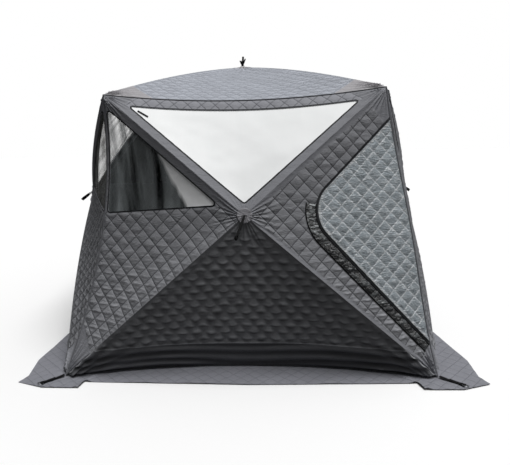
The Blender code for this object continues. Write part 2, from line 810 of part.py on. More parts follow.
def make_front_right_panel():
    """The quilt between the poles and the zip, round the doorway."""
    front = FACES["front"]
    outer = gore_lines(front, RIGHT_HAND, 0, front.setback)[0]
    top_outer, foot_outer, foot_hub, top_hub = gore_outline(front, RIGHT_HAND)
    edge_path = trimmed(offset_path(zip_path(), -(ZIP_WIDTH / 2 + SEW_GAP)), outer)
    bm = bmesh.new()
    outline = [top_outer] + edge_path + [foot_outer, foot_hub, top_hub]
    add_cloth(bm, front, RIGHT_HAND, outline, marks=[flap_outline()])
    add_object("front_right_panel", bm, "quilted_polyester")


def make_door():
    """The door leaf, hung along the corner seam."""
    front = FACES["front"]
    outer = gore_lines(front, RIGHT_HAND, 0, front.setback)[0]
    bm = bmesh.new()
    add_cloth(bm, front, RIGHT_HAND, trimmed(offset_path(zip_path(), ZIP_WIDTH / 2 + SEW_GAP), outer))
    add_object("door_panel", bm, "silver_quilt")


def make_zip():
    """The zip tape that closes the gap between door and panel."""
    front = FACES["front"]
    outer = gore_lines(front, RIGHT_HAND, 0, front.setback)[0]
    one_side = trimmed(offset_path(zip_path(), -ZIP_WIDTH / 2), outer)
    other_side = trimmed(offset_path(zip_path(), ZIP_WIDTH / 2), outer)
    bm = bmesh.new()
    low = -(QUILT + ZIP_THICKNESS) / 2
    add_cloth(bm, front, RIGHT_HAND, one_side + other_side[::-1], low=low, high=low + ZIP_THICKNESS)
    add_object("door_zip", bm, "zip_nylon")


def flap_outline():
    """The storm flap's outline, along the lower run of the zip."""
    path = zip_path()
    run = path[len(path) // 2:-1]
    near = offset_path(run, -(ZIP_WIDTH / 2 + FLAP_INSET))
    far = offset_path(run, -(ZIP_WIDTH / 2 + FLAP_INSET + FLAP_WIDTH))
    return near + far[::-1]


def make_storm_flap():
    """The flap beside the lower run of the zip, folded back on the quilt."""
    bm = bmesh.new()
    add_cloth(bm, FACES["front"], RIGHT_HAND, flap_outline(), low=LAY_GAP, high=LAY_GAP + FLAP_THICKNESS)
    add_object("storm_flap", bm, "zip_nylon")


def zip_run():
    """The two ends, on the zip's face, of the straight run that the slider travels, and the way across it."""
    front = FACES["front"]
    path = zip_path()
    foot = path[-1]
    upward = (path[-2] - foot).normalized()
    aside = Vector((-upward.y, upward.x)) * SLIDER_WIDTH
    start = foot + upward * SLIDER_START
    finish = start + upward * SLIDER_TRAVEL
    proud = (ZIP_THICKNESS - QUILT) / 2
    ends = [front.skin(RIGHT_HAND, p.x, p.y, proud) for p in (start, finish, start + aside)]
    return ends[0], ends[1], (ends[2] - ends[0]).normalized()


def slider_frame():
    """The placement of the zip slider: X up the zip, Z out of the cloth."""
    start, finish, aside = zip_run()
    along = (finish - start).normalized()
    upward = along.cross(aside).normalized()
    turned = Matrix((along, upward.cross(along), upward)).transposed().to_4x4()
    return Matrix.Translation(start + upward * SLIDER_SEAT) @ turned


def make_slider():
    """The zip slider, with the bridge that its pull hangs from."""
    place = slider_frame()
    half = SLIDER_LENGTH / 2
    wide = SLIDER_WIDTH / 2
    tail = SLIDER_TAIL_WIDTH / 2
    bm = bmesh.new()
    add_prism(bm, [(-half, -tail), (half, -wide), (half, wide), (-half, tail)], place, 0, SLIDER_BODY)
    slider = add_object("zip_slider", bm, "steel")
    bridge = bmesh.new()
    outer = BRIDGE_LENGTH / 2
    inner = outer - BRIDGE_WIRE
    foot = SLIDER_BODY / 2
    head = SLIDER_HEIGHT - BRIDGE_WIRE
    legs = [(-outer, foot), (-inner, foot), (-inner, head), (inner, head), (inner, foot), (outer, foot),
            (outer, SLIDER_HEIGHT), (-outer, SLIDER_HEIGHT)]
    upright = place @ Matrix.Rotation(math.radians(90), 4, "X")
    add_prism(bridge, legs, upright, -BRIDGE_WIDTH / 2, BRIDGE_WIDTH / 2)
    combine(slider, add_object("add_bridge_zip_slider", bridge, "steel"), "UNION")


def pull_frame():
    """The placement of the zip pull's bar, midway between the slider's body and the head of its bridge."""
    height = (SLIDER_BODY + SLIDER_HEIGHT - BRIDGE_WIRE) / 2
    return slider_frame() @ Matrix.Translation(Vector((0, 0, height)))


def make_zip_pull():
    """The tab that hangs from the slider's bridge by the bar of its window."""
    place = pull_frame()
    wide = SLIDER_WIDTH / 2
    clear = wide - PULL_RIM
    bar = PULL_RIM / 2
    outer = [(-PULL_LENGTH, -wide), (bar, -wide), (bar, wide), (-PULL_LENGTH, wide)]
    window = [(-PULL_WINDOW, -clear), (-bar, -clear), (-bar, clear), (-PULL_WINDOW, clear)]
    points = [Vector(p) for p in outer + window]
    edges = [(k, (k + 1) % 4) for k in range(4)] + [(4 + k, 4 + (k + 1) % 4) for k in range(4)]
    flat, _, faces, *_ = delaunay_2d_cdt(points, edges, [], 1, SAME_POINT)
    faces = outside_holes(flat, faces, [points[4:]])
    half = PULL_THICKNESS / 2
    layers = [(place @ Vector((p.x, p.y, -half)), place @ Vector((p.x, p.y, half))) for p in flat]
    bm = bmesh.new()
    add_layers(bm, layers, faces)
    add_object("zip_pull", bm, "steel")


# Seams, corners and ground

def seam_ring(level):
    """The closed line of the four seams at one level."""
    feet = [(LEFT, FRONT, level), (RIGHT, FRONT, level), (RIGHT, BACK, level), (LEFT, BACK, level)]
    path = []
    for k, start in enumerate(feet):
        finish = feet[(k + 1) % 4]
        path += [seam_point(start, finish, n / BINDING_STEPS) for n in range(BINDING_STEPS)]
    return path


def make_bindings():
    """The bound seams between the faces: a ring at the eaves, one at the foot, and the four corners between."""
    upright = Vector((0, 0, 1))
    foot = bmesh.new()
    add_tube(foot, seam_ring(BOTTOM), [BINDING_RADIUS] * 4 * BINDING_STEPS, BINDING_SIDES, upright, True)
    cage = add_object("seam_bindings", foot, "plain_polyester")
    eaves = bmesh.new()
    add_tube(eaves, seam_ring(TOP), [BINDING_RADIUS] * 4 * BINDING_STEPS, BINDING_SIDES, upright, True)
    posts = bmesh.new()
    for side in (LEFT, RIGHT):
        for end in (FRONT, BACK):
            path = [seam_point((side, end, BOTTOM), (side, end, TOP), k / BINDING_STEPS)
                    for k in range(BINDING_STEPS + 1)]
            outward = Vector((side, end, 0))
            add_tube(posts, path, [BINDING_RADIUS] * len(path), BINDING_SIDES, outward)
    combine(cage, add_object("add_corner_seams", posts, "plain_polyester"), "UNION")
    combine(cage, add_object("add_eave_seams", eaves, "plain_polyester"), "UNION")


def make_skirt():
    """The ground skirt, flat on the ground from just under the wall's foot outwards."""
    reach = BASE_WIDTH / 2 + SKIRT_WIDTH
    depth = BASE_WIDTH / 2 + SKIRT_END_WIDTH
    outer = [Vector((x * reach, y * depth)) for x, y in ((-1, -1), (1, -1), (1, 1), (-1, 1))]
    inner = shrunk([p.xy for p in seam_ring(BOTTOM)], SKIRT_TUCK)
    points = outer + inner
    edges = [(k, (k + 1) % 4) for k in range(4)]
    edges += [(4 + k, 4 + (k + 1) % len(inner)) for k in range(len(inner))]
    flat, _, faces, *_ = delaunay_2d_cdt(points, edges, [], 1, SAME_POINT)
    faces = outside_holes(flat, faces, [inner])
    bm = bmesh.new()
    add_layers(bm, [(Vector((p.x, p.y, 0)), Vector((p.x, p.y, SKIRT_CLOTH))) for p in flat], faces)
    add_object("ground_skirt", bm, "skirt_polyester")


def make_peg_loop(name, side, end):
    """A webbing tab from one foot out over the skirt, with a steel ring sewn in its end for a peg."""
    outward = Vector((side, end, 0)).normalized()
    across = Vector((0, 0, 1)).cross(outward)
    height = SKIRT_CLOTH + SEAT
    start = Vector((side * BASE_WIDTH / 2, end * BASE_WIDTH / 2, height)) + outward * PEG_START
    place = Matrix.Translation(start) @ Matrix((outward, across, Vector((0, 0, 1)))).transposed().to_4x4()
    half = PEG_WIDTH / 2
    tab = bmesh.new()
    add_prism(tab, [(0, -half), (PEG_LENGTH, -half), (PEG_LENGTH, half), (0, half)], place, 0, PEG_THICKNESS)
    loop = add_object(name, tab, "black_webbing")
    ring = bmesh.new()
    middle = Vector((PEG_LENGTH + RING_RADIUS - RING_WIRE * 2, 0, PEG_THICKNESS / 2))
    add_ring(ring, place @ Matrix.Translation(middle), RING_RADIUS, RING_WIRE)
    combine(loop, add_object("add_ring_" + name, ring, "steel"), "UNION")


def tie_outline():
    """The door tie's outline beside the front right-hand seam, in the right wall's pattern."""
    face = FACES["right"]
    outer = gore_lines(face, LEFT_HAND, 0, TIE_INSET + TIE_WIDTH / 2)[0]
    start, finish = outer
    along = (start - finish).normalized()
    across = Vector((-along.y, along.x))
    top = finish + along * TIE_DROP
    neck = top + along * TIE_NECK_LENGTH
    spread = neck + along * TIE_FLARE
    tip = top + along * TIE_LENGTH
    taper = tip - along * TIE_POINT
    narrow = across * TIE_NECK / 2
    wide = across * TIE_WIDTH / 2
    return [top + narrow, neck + narrow, spread + wide, taper + wide, tip,
            taper - wide, spread - wide, neck - narrow, top - narrow]


def make_door_tie():
    """The webbing tie that holds the rolled door, hanging from the top of the corner."""
    bm = bmesh.new()
    add_cloth(bm, FACES["right"], LEFT_HAND, tie_outline(), low=LAY_GAP, high=LAY_GAP + PLAIN_CLOTH)
    add_object("door_tie", bm, "black_webbing")


def port_outline():
    """The chimney patch's outline on the roof's rear gore."""
    half = PORT_SIZE / 2
    corners = [Vector((x * half, PORT_UP + y * half)) for x, y in ((-1, -1), (1, -1), (1, 1), (-1, 1))]
    return rounded(corners, [PORT_ROUND] * 4)


def make_chimney_port():
    """The heat-resistant patch for a chimney, sewn on the roof's rear gore."""
    bm = bmesh.new()
    add_cloth(bm, FACES["roof"], UPPER, port_outline(), low=LAY_GAP, high=LAY_GAP + PLAIN_CLOTH)
    add_object("chimney_port", bm, "silicone_cloth")


def build():
    """Model every piece of the tent."""
    clear_scene()
    for face in FACES.values():
        make_hub(face)
        make_pull_strap(face)
        names = ROOF_CORNER_NAMES if face.name == "roof" else CORNER_NAMES
        for number, corner_name in enumerate(names):
            make_pole(face.name + "_pole_" + corner_name, face, number)
    front = FACES["front"]
    make_panel("front_top_panel", front, UPPER)
    make_panel("front_left_panel", front, LEFT_HAND)
    make_panel("front_bottom_panel", front, LOWER)
    make_front_right_panel()
    for name in ("left", "back"):
        make_cover(name + "_wall", FACES[name], "quilted_polyester")
    make_cover("right_wall", FACES["right"], "quilted_polyester", {LEFT_HAND: tie_outline()})
    make_cover("roof_canopy", FACES["roof"], "roof_polyester", {UPPER: port_outline()})
    for name in WINDOW_NAMES:
        make_windows(FACES[name])
    make_door()
    make_zip()
    make_storm_flap()
    make_slider()
    make_zip_pull()
    make_bindings()
    make_skirt()
    for side, side_name in ((LEFT, "left"), (RIGHT, "right")):
        for end, end_name in ((FRONT, "front"), (BACK, "back")):
            make_peg_loop("peg_loop_" + end_name + "_" + side_name, side, end)
    make_door_tie()
    make_chimney_port()


build()
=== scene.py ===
# Looks of the pop-up sauna tent: quilted gores, clear film windows, zipped door, bound seams, skirt and
# webbing, laid on the tent's own frame. Metres, +Z up, the front with the door at -Y.
import json
import math

import bpy
import bmesh
import numpy as np
from mathutils import Matrix, Vector
from mathutils.geometry import delaunay_2d_cdt, intersect_line_line


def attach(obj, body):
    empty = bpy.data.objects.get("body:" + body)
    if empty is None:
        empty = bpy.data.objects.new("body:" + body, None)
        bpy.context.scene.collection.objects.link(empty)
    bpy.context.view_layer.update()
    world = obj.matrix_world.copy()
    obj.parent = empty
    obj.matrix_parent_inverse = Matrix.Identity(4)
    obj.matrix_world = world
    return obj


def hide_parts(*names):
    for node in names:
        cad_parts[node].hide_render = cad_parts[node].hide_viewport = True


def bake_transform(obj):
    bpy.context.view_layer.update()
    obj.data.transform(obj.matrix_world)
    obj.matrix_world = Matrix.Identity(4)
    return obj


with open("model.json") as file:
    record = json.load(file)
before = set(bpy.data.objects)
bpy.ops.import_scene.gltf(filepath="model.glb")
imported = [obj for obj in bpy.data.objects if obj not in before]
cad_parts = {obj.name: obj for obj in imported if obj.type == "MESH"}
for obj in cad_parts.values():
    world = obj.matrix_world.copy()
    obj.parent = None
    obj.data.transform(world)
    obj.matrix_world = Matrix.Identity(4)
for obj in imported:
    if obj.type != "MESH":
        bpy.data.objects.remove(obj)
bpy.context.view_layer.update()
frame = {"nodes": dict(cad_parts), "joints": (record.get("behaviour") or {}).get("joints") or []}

bl_info = {
    "name": "Sauna Tent",
    "version": (1, 0, 0),
    "blender": (4, 5, 0),
    "location": "3D View > Sidebar > Sauna Tent",
    "description": "Dresses the frame of a pop-up sauna tent in cloth, film, webbing and trim",
    "category": "Object",
}

PHOTO_WIDTH = 510
LEFT, RIGHT, FRONT, BACK = -1, 1, -1, 1
TOP, BOTTOM = "top", "bottom"
CORNERS = [(LEFT, FRONT), (RIGHT, FRONT), (RIGHT, BACK), (LEFT, BACK)]
UPPER, RIGHT_HAND, LOWER, LEFT_HAND = 0, 1, 2, 3
WALL_GORES = ((UPPER, "top"), (RIGHT_HAND, "right"), (LOWER, "bottom"), (LEFT_HAND, "left"))
ROOF_GORES = ((UPPER, "back"), (RIGHT_HAND, "right"), (LOWER, "front"), (LEFT_HAND, "left"))


# Sizes and colours that a user may change

def size(name, default, description):
    """A length in metres."""
    return bpy.props.FloatProperty(name=name, description=description, default=default, unit="LENGTH",
                                   precision=4)


def colour(name, default, description):
    """A colour, as sRGB hex."""
    return bpy.props.StringProperty(name=name, description=description, default=default)


class TentShape(bpy.types.PropertyGroup):
    """The outline that all cloth follows."""
    base_width: size("Base width", 2.40, "Width of the tent at the foot")
    top_width: size("Top width", 1.90, "Width of the tent at the eaves")
    corner_height: size("Corner height", 1.86, "Height of the eaves' corners")
    hem_height: size("Hem height", 0.0123, "Height of the seam at the foot")
    wall_pop: size("Wall pop", 0.285, "How far a wall's hub stands out")
    roof_rise: size("Roof rise", 0.27, "How far the roof's hub stands up")
    pole_bow: size("Pole bow", 0.035, "Outward bow of the cloth over a pole")
    gore_sag: size("Gore sag", 0.018, "Sag of a gore between its poles")
    corner_seam_bow: size("Corner seam bow", 0.095, "Inward pull of a corner seam")
    door_seam_bow: size("Door seam bow", 0.03, "Inward pull of the seam at the door")
    door_seam_ease: size("Door seam ease", 0.028, "How far taut cloth straightens the middle of that seam")
    eave_pull_in: size("Eave pull", 0.07, "Inward pull of the eaves, a share of the half width")
    eave_sag: size("Eave sag", 0.06, "Drop of the eaves between corners")
    hem_pull_in: size("Hem pull", 0.15, "Inward pull of the hem, a share of the half width")


class TentCloth(bpy.types.PropertyGroup):
    """Cloth, quilting and film."""
    quilt: size("Quilt thickness", 0.005, "Thickness of the quilted cloth at its stitching")
    film: size("Film thickness", 0.0010, "Thickness of the window film")
    diamond_width: size("Diamond width", 0.094, "Width of one quilted diamond")
    diamond_height: size("Diamond height", 0.098, "Height of one quilted diamond")
    puff: size("Puff", 0.0075, "Height of the wadding in a diamond")
    fine_step: size("Fine step", 0.009, "Spacing of mesh points on the front")
    plain_step: size("Plain step", 0.013, "Spacing of mesh points elsewhere")
    tape: size("Window tape", 0.010, "Width of the tape round a window")
    hub_hole: size("Hub hole", 0.034, "Radius at which the gores end at a hub")
    binding: size("Binding radius", 0.0075, "Radius of the bound seams")


class TentTrim(bpy.types.PropertyGroup):
    """Webbing, piping, zip and hardware."""
    piping: size("Piping radius", 0.0045, "Radius of the piping over the seams")
    strap_width: size("Strap width", 0.022, "Width of the pull straps")
    strap_length: size("Strap length", 0.115, "Length of the pull straps")
    webbing: size("Webbing thickness", 0.0015, "Thickness of the straps' webbing")
    peg_length: size("Peg strap length", 0.15, "Length of the straps at the feet")
    peg_width: size("Peg strap width", 0.025, "Width of the straps at the feet")
    ring: size("Ring radius", 0.018, "Radius of the peg rings")
    ring_wire: size("Ring wire", 0.002, "Radius of the peg rings' wire")
    tooth_pitch: size("Zip pitch", 0.006, "Spacing of the zip's teeth")
    rod: size("Pole radius", 0.00475, "Radius of a glass-fibre pole")


class TentColours(bpy.types.PropertyGroup):
    """Colours, as sRGB hex."""
    wall: colour("Wall cloth", "#87888c", "Charcoal polyester of the walls")
    roof: colour("Roof cloth", "#b4b8c1", "Paler polyester of the roof")
    silver: colour("Silver quilt", "#a2abb1", "Silver-coated cloth of the door and lining")
    # The stitching colour is also painted on the silver cloth's creases as highlights
    thread_and_glints: colour("Stitching", "#eef1f3", "Thread and worn coating along the door's stitching")
    plain: colour("Plain cloth", "#85868b", "Unquilted reinforcements")
    skirt: colour("Skirt cloth", "#8b8c93", "Ground skirt")
    webbing: colour("Webbing", "#111112", "Straps, tapes and zip")


# Small helpers

def linear(code):
    """A colour's linear RGBA from its sRGB hex code."""
    parts = [int(code[k:k + 2], 16) / 255 for k in (1, 3, 5)]
    return (*[c / 12.92 if c <= 0.04045 else ((c + 0.055) / 1.055) ** 2.4 for c in parts], 1.0)


def shape():
    return bpy.context.scene.sauna_shape


def cloth():
    return bpy.context.scene.sauna_cloth


def trim():
    return bpy.context.scene.sauna_trim


def colours():
    return bpy.context.scene.sauna_colours


def pivot(joint):
    """Where a hinge of the frame has its axis."""
    return Vector(next(j["pos_m"] for j in frame["joints"] if j["name"] == joint))


def smooth(x, low, high):
    """0 below low, 1 above high and a smooth rise between."""
    t = np.clip((x - low) / (high - low), 0, 1)
    return t * t * (3 - 2 * t)


def lattice_noise(x, y, seed):
    """Smooth noise from -1 to 1 on a unit lattice, the same on each run."""
    column, row = np.floor(x), np.floor(y)
    fx, fy = x - column, y - row
    fx, fy = fx * fx * (3 - 2 * fx), fy * fy * (3 - 2 * fy)

    def value(i, j):
        """A fixed value for each place of the lattice."""
        mixed = np.sin(i * 127.1 + j * 311.7 + seed * 74.7) * 43758.5453
        return (mixed - np.floor(mixed)) * 2 - 1

    low = value(column, row) * (1 - fx) + value(column + 1, row) * fx
    high = value(column, row + 1) * (1 - fx) + value(column + 1, row + 1) * fx
    return low * (1 - fy) + high * fy


def folds(x, y, seed, octaves=3):
    """Layered noise, each layer half as large and half as strong."""
    return sum(lattice_noise(x * 2 ** k, y * 2 ** k, seed + k) / 2 ** k for k in range(octaves))


# The surface that all cloth follows

def corner(side, end, level):
    """One of the eight corners of the tent."""
    s = shape()
    if level == TOP:
        return Vector((side * s.top_width / 2, end * s.top_width / 2, s.corner_height))
    return Vector((side * s.base_width / 2, end * s.base_width / 2, s.hem_height))


def seam_pull(a, b):
    """How far cloth tension pulls the middle of the seam between two corners off its straight line."""
    s = shape()
    if a[2] != b[2]:
        pull = s.door_seam_bow if a[:2] == (RIGHT, FRONT) else s.corner_seam_bow
        return Vector((-a[0], -a[1], 0)) * pull
    inward = Vector((-(a[0] + b[0]) / 2, -(a[1] + b[1]) / 2, 0))
    if a[2] == TOP:
        return inward * s.eave_pull_in - Vector((0, 0, s.eave_sag))
    return inward * s.hem_pull_in


def seam_ease(a, b):
    """How far the middle of the door's seam is drawn out again, straighter than the frame under it."""
    if a[:2] == b[:2] == (RIGHT, FRONT):
        return Vector((1, -1, 0)) * shape().door_seam_ease
    return Vector((0, 0, 0))


def seam_point(a, b, share):
    """A point on the seam from corner a to corner b."""
    straight = corner(*a).lerp(corner(*b), share)
    bow = seam_pull(a, b) * 4 * share * (1 - share)
    return straight + bow + seam_ease(a, b) * math.sin(math.pi * share) ** 2


class Face:
    """One face of the tent, seen from outside, with its hub out in front of the crossing of its diagonals."""

    def __init__(self, name, corners, pop, seed):
        self.name, self.hub_body = name, name + "_hub"
        self.corners, self.pop, self.seed = corners, pop, seed
        p = [corner(*c) for c in corners]
        self.right = (p[1] - p[0]).normalized()
        self.out = (p[2] - p[0]).cross(p[1] - p[0]).normalized()
        self.up = self.out.cross(self.right)
        self.middle = intersect_line_line(p[0], p[2], p[1], p[3])[0]
        self.hub = self.middle + self.out * pop
        self.flat = [Vector(((q - self.middle).dot(self.right), (q - self.middle).dot(self.up))) for q in p]

    def pole_ends(self, edge):
        """The pattern's corners at the ends of a gore's first and second pole."""
        return self.flat[edge], self.flat[(edge + 1) % 4]

    def shares(self, edge, flat):
        """How far pattern points lie along a gore's first and second pole, as shares of their lengths."""
        a, b = self.pole_ends(edge)
        u, v = flat[:, 0], flat[:, 1]
        area = a.x * b.y - a.y * b.x
        return (u * b.y - v * b.x) / area, (a.x * v - a.y * u) / area

    def skin(self, edge, flat):
        """The places on the tent of flat pattern points in the gore at one edge."""
        along_a, along_b = self.shares(edge, flat)
        outer = np.maximum(along_a + along_b, 1e-4)
        share, near_hub = along_b / outer, 1 - outer
        start, finish = self.corners[edge], self.corners[(edge + 1) % 4]
        seam = np.outer(1 - share, corner(*start)) + np.outer(share, corner(*finish))
        seam += np.outer(4 * share * (1 - share), seam_pull(start, finish))
        seam += np.outer(np.sin(np.pi * share) ** 2, seam_ease(start, finish))
        rise = 4 * near_hub * (1 - near_hub) * (shape().pole_bow - shape().gore_sag * np.sin(np.pi * share))
        return seam * outer[:, None] + np.outer(near_hub, self.hub) + np.outer(rise, self.out)

    def surface(self, edge, flat, height):
        """Places a height above the skin, measured square to it."""
        step = 0.002
        base = self.skin(edge, flat)
        across = self.skin(edge, flat + np.array([step, 0])) - base
        upward = self.skin(edge, flat + np.array([0, step])) - base
        normal = np.cross(across, upward)
        length = np.linalg.norm(normal, axis=1)[:, None]
        normal = np.where(length > 1e-12, normal / np.maximum(length, 1e-12), np.array(self.out))
        return base + normal * height[:, None]

    def surface_round_hub(self, flat, height):
        """Places a height above the skin in whichever gore each pattern point lies."""
        found = np.zeros((len(flat), 3))
        for edge in range(4):
            along_a, along_b = self.shares(edge, flat)
            here = (along_a >= -1e-9) & (along_b >= -1e-9)
            if here.any():
                found[here] = self.surface(edge, flat[here], height[here])
        return found

    def line(self, edge, points, height):
        """Places along a line of the pattern, all at one height above the skin."""
        flat = np.array([tuple(p) for p in points])
        return self.surface(edge, flat, np.full(len(flat), height))

    def plane(self, flat, out):
        """Places level with the face's own plane, a way out from it."""
        spots = np.outer(flat[:, 0], self.right) + np.outer(flat[:, 1], self.up) + np.array(self.middle)
        return spots + np.outer(out, self.out)

    def corner_place(self, number):
        """A corner of the face."""
        p = self.flat[number % 4]
        return self.middle + self.right * p.x + self.up * p.y

    def seam_foot(self, edge):
        """The place on a gore's outer seam nearest to the face's middle."""
        a, b = self.corner_place(edge), self.corner_place(edge + 1)
        along = (b - a).normalized()
        return a + along * (self.middle - a).dot(along)

    def over_pole(self, number, distance, depth):
        """A place on the line of a pole, a distance from the hub and a depth under the cloth."""
        reach = self.flat[number].length
        share = 1 - distance / reach
        toward = self.flat[number] / reach
        height = self.pop * share + shape().pole_bow * 4 * share * (1 - share) - depth
        return self.middle + (self.right * toward.x + self.up * toward.y) * distance + self.out * height


def make_faces():
    """The five faces of the tent."""
    wall, roof = shape().wall_pop, shape().roof_rise
    top_front = [(LEFT, FRONT, TOP), (RIGHT, FRONT, TOP)]
    top_back = [(LEFT, BACK, TOP), (RIGHT, BACK, TOP)]
    foot_front = [(LEFT, FRONT, BOTTOM), (RIGHT, FRONT, BOTTOM)]
    foot_back = [(LEFT, BACK, BOTTOM), (RIGHT, BACK, BOTTOM)]
    return {
        "front": Face("front", [*top_front, foot_front[1], foot_front[0]], wall, 1),
        "right": Face("right", [top_front[1], top_back[1], foot_back[1], foot_front[1]], wall, 2),
        "back": Face("back", [top_back[1], top_back[0], foot_back[0], foot_back[1]], wall, 3),
        "left": Face("left", [top_back[0], top_front[0], foot_front[0], foot_back[0]], wall, 4),
        "roof": Face("roof", [*top_back, top_front[1], top_front[0]], roof, 5),
    }


# Flat pattern outlines

def inset_line(a, b, distance):
    """The line from a to b moved to its right-hand side by a distance."""
    along = (b - a).normalized()
    side = Vector((along.y, -along.x)) * distance
    return a + side, b + side


def crossing(line, other):
    """Where two endless lines in the pattern cross."""
    (a, b), (c, d) = line, other
    r, s = b - a, d - c
    return a + r * ((c - a).cross(s) / r.cross(s))


def gore_lines(face, edge, pole_inset, edge_inset):
    """The outer line, the far pole's line and the near pole's line of a gore, each set in."""
    a, b = face.pole_ends(edge)
    hub = Vector((0, 0))
    return inset_line(a, b, edge_inset), inset_line(b, hub, pole_inset), inset_line(hub, a, pole_inset)


def gore_outline(face, edge, setback):
    """The four corners of a gore, from pole to pole, clear of the bindings and open at the hub."""
    outer = gore_lines(face, edge, 0, setback)[0]
    a, b = face.pole_ends(edge)
    hub, hole = Vector((0, 0)), cloth().hub_hole
    return [*(crossing(outer, (hub, end)) for end in (a, b)), *(end.normalized() * hole for end in (b, a))]


def rounded(points, radii, step=0.012):
    """An outline whose corners are rounded to the given radii, as points."""
    result = []
    count = len(points)
    for k, point in enumerate(points):
        if not radii[k]:
            result.append(point)
            continue
        before = (points[k - 1] - point).normalized()
        after = (points[(k + 1) % count] - point).normalized()
        half = before.angle(after) / 2
        reach = radii[k] / math.tan(half)
        centre = point + (before + after).normalized() * radii[k] / math.sin(half)
        start = point + before * reach - centre
        finish = point + after * reach - centre
        turn = start.angle(finish)
        pieces = max(2, math.ceil(turn * radii[k] / step))
        sign = 1 if start.cross(finish) > 0 else -1
        for piece in range(pieces + 1):
            angle = sign * turn * piece / pieces
            c, s = math.cos(angle), math.sin(angle)
            result.append(centre + Vector((start.x * c - start.y * s, start.x * s + start.y * c)))
    return result


def divided(points, step, closed=True):
    """The same outline with points added along its long runs."""
    result = []
    last = len(points) if closed else len(points) - 1
    for k in range(last):
        a, b = points[k], points[(k + 1) % len(points)]
        pieces = max(1, math.ceil((b - a).length / step))
        result += [a.lerp(b, n / pieces) for n in range(pieces)]
    if not closed:
        result.append(points[-1])
    return result


def offset_path(points, distance):
    """An open path moved to its left by a distance."""
    moved = []
    for k, point in enumerate(points):
        before, after = points[max(k - 1, 0)], points[min(k + 1, len(points) - 1)]
        first = (point - before).normalized() if k else (after - point).normalized()
        second = (after - point).normalized() if k < len(points) - 1 else first
        along = (first + second).normalized()
        moved.append(point + Vector((-along.y, along.x)) * distance / max(along.dot(first), 0.5))
    return moved


def shrunk(outline, distance):
    """A closed outline moved inwards all round by a small distance."""
    sign = 1 if sum(outline[k - 1].cross(p) for k, p in enumerate(outline)) > 0 else -1
    moved = []
    for k, point in enumerate(outline):
        first = (point - outline[k - 1]).normalized()
        second = (outline[(k + 1) % len(outline)] - point).normalized()
        along = (first + second).normalized()
        moved.append(point + Vector((-along.y, along.x)) * sign * distance / max(along.dot(first), 0.5))
    return moved


def within(flat, outline):
    """Which pattern points lie within an outline."""
    hit = np.zeros(len(flat), bool)
    x, y = flat[:, 0], flat[:, 1]
    for k, a in enumerate(outline):
        b = outline[k - 1]
        if a.y != b.y:
            spans = (a.y > y) != (b.y > y)
            hit ^= spans & (x < (b.x - a.x) * (y - a.y) / (b.y - a.y) + a.x)
    return hit


def from_path(flat, path, closed=True):
    """How far pattern points are from a path."""
    nearest = np.full(len(flat), 1e9)
    for k in range(0 if closed else 1, len(path)):
        a, b = np.array(path[k - 1]), np.array(path[k])
        run = b - a
        share = np.clip((flat - a) @ run / max(run @ run, 1e-12), 0, 1)
        nearest = np.minimum(nearest, np.linalg.norm(flat - a - share[:, None] * run, axis=1))
    return nearest


# Windows and door in the pattern

WINDOW_POLE_INSET = 0.062
WINDOW_EAVE_INSET = 0.08
WINDOW_SEAM_INSET = 0.026
WINDOW_SILL = 0.075
WINDOW_SILL_FALL = 0.060
SIDE_WINDOW_POLE_INSET = 0.068
TOP_WINDOW_ROUNDS = (0.008, 0.008, 0.012)
SIDE_WINDOW_ROUNDS = (0.02, 0.015, 0.02)
FILM_OVERLAP = 0.004
DOOR_APEX = Vector((0.365, 0.022))
DOOR_ROUND = 0.21
DOOR_TOP_DROP = 0.21
DOOR_FOOT_RISE = 0.20
ZIP_WIDTH = 0.018
ZIP_TAPE = 0.0016
TOOTH = (0.55, 0.0056, 0.0022)
TOOTH_LIFT = 0.0006
DOOR_BINDING = 0.016
FLAP_WIDTH = 0.062
FLAP_INSET = 0.001
FLAP_HEAD_START = 0.395
SETBACK = 0.004
TIE_INSET = 0.012
TIE_DROP = 0.03
TIE_LENGTH = 0.40
TIE_WIDTH = 0.028
TIE_NECK = 0.008
TIE_NECK_LENGTH = 0.16
TIE_FLARE = 0.02
TIE_POINT = 0.03
TIE_DASH = ((-0.704, 0.712), (-0.631, 0.669))
WINDOW_TIE_WIDTH = 0.010
PORT_SIZE = 0.30
PORT_UP = 0.42
PORT_HEM = 0.035

# Folds, crinkle and pleats of the cloth

COVERED_PUFF = 0.15
CRINKLE = 0.0025
FOOT_ROWS = 0.009
FOOT_FOLD = 0.062
HEM_BAND = 0.175
HUB_PLEATS = 15
HUB_PLEAT_REACH = 0.17
HUB_PLEAT_RISE = 0.010
CORNER_PLEATS = 19
CORNER_PLEAT_REACH = 0.16
UPPER_CORNER_RISE = 0.014
LOWER_CORNER_RISE = 0.024
FOOT_PLEATS = 15
FOOT_PLEAT_REACH = 0.45
FOOT_PLEAT_RISE = 0.014
PLAIN_CLOTH = 0.002
PLAIN_CLOTH_RISE = 0.0016
WINDOW_TAPE_RISE = 0.0022
HEM_SEAM_RISE = 0.003
POLE_RIDGE = 0.0014
LEAST_RISE = 0.0004
BELOW_SHARE = 0.6

# Hubs, poles, straps, skirt and pegs

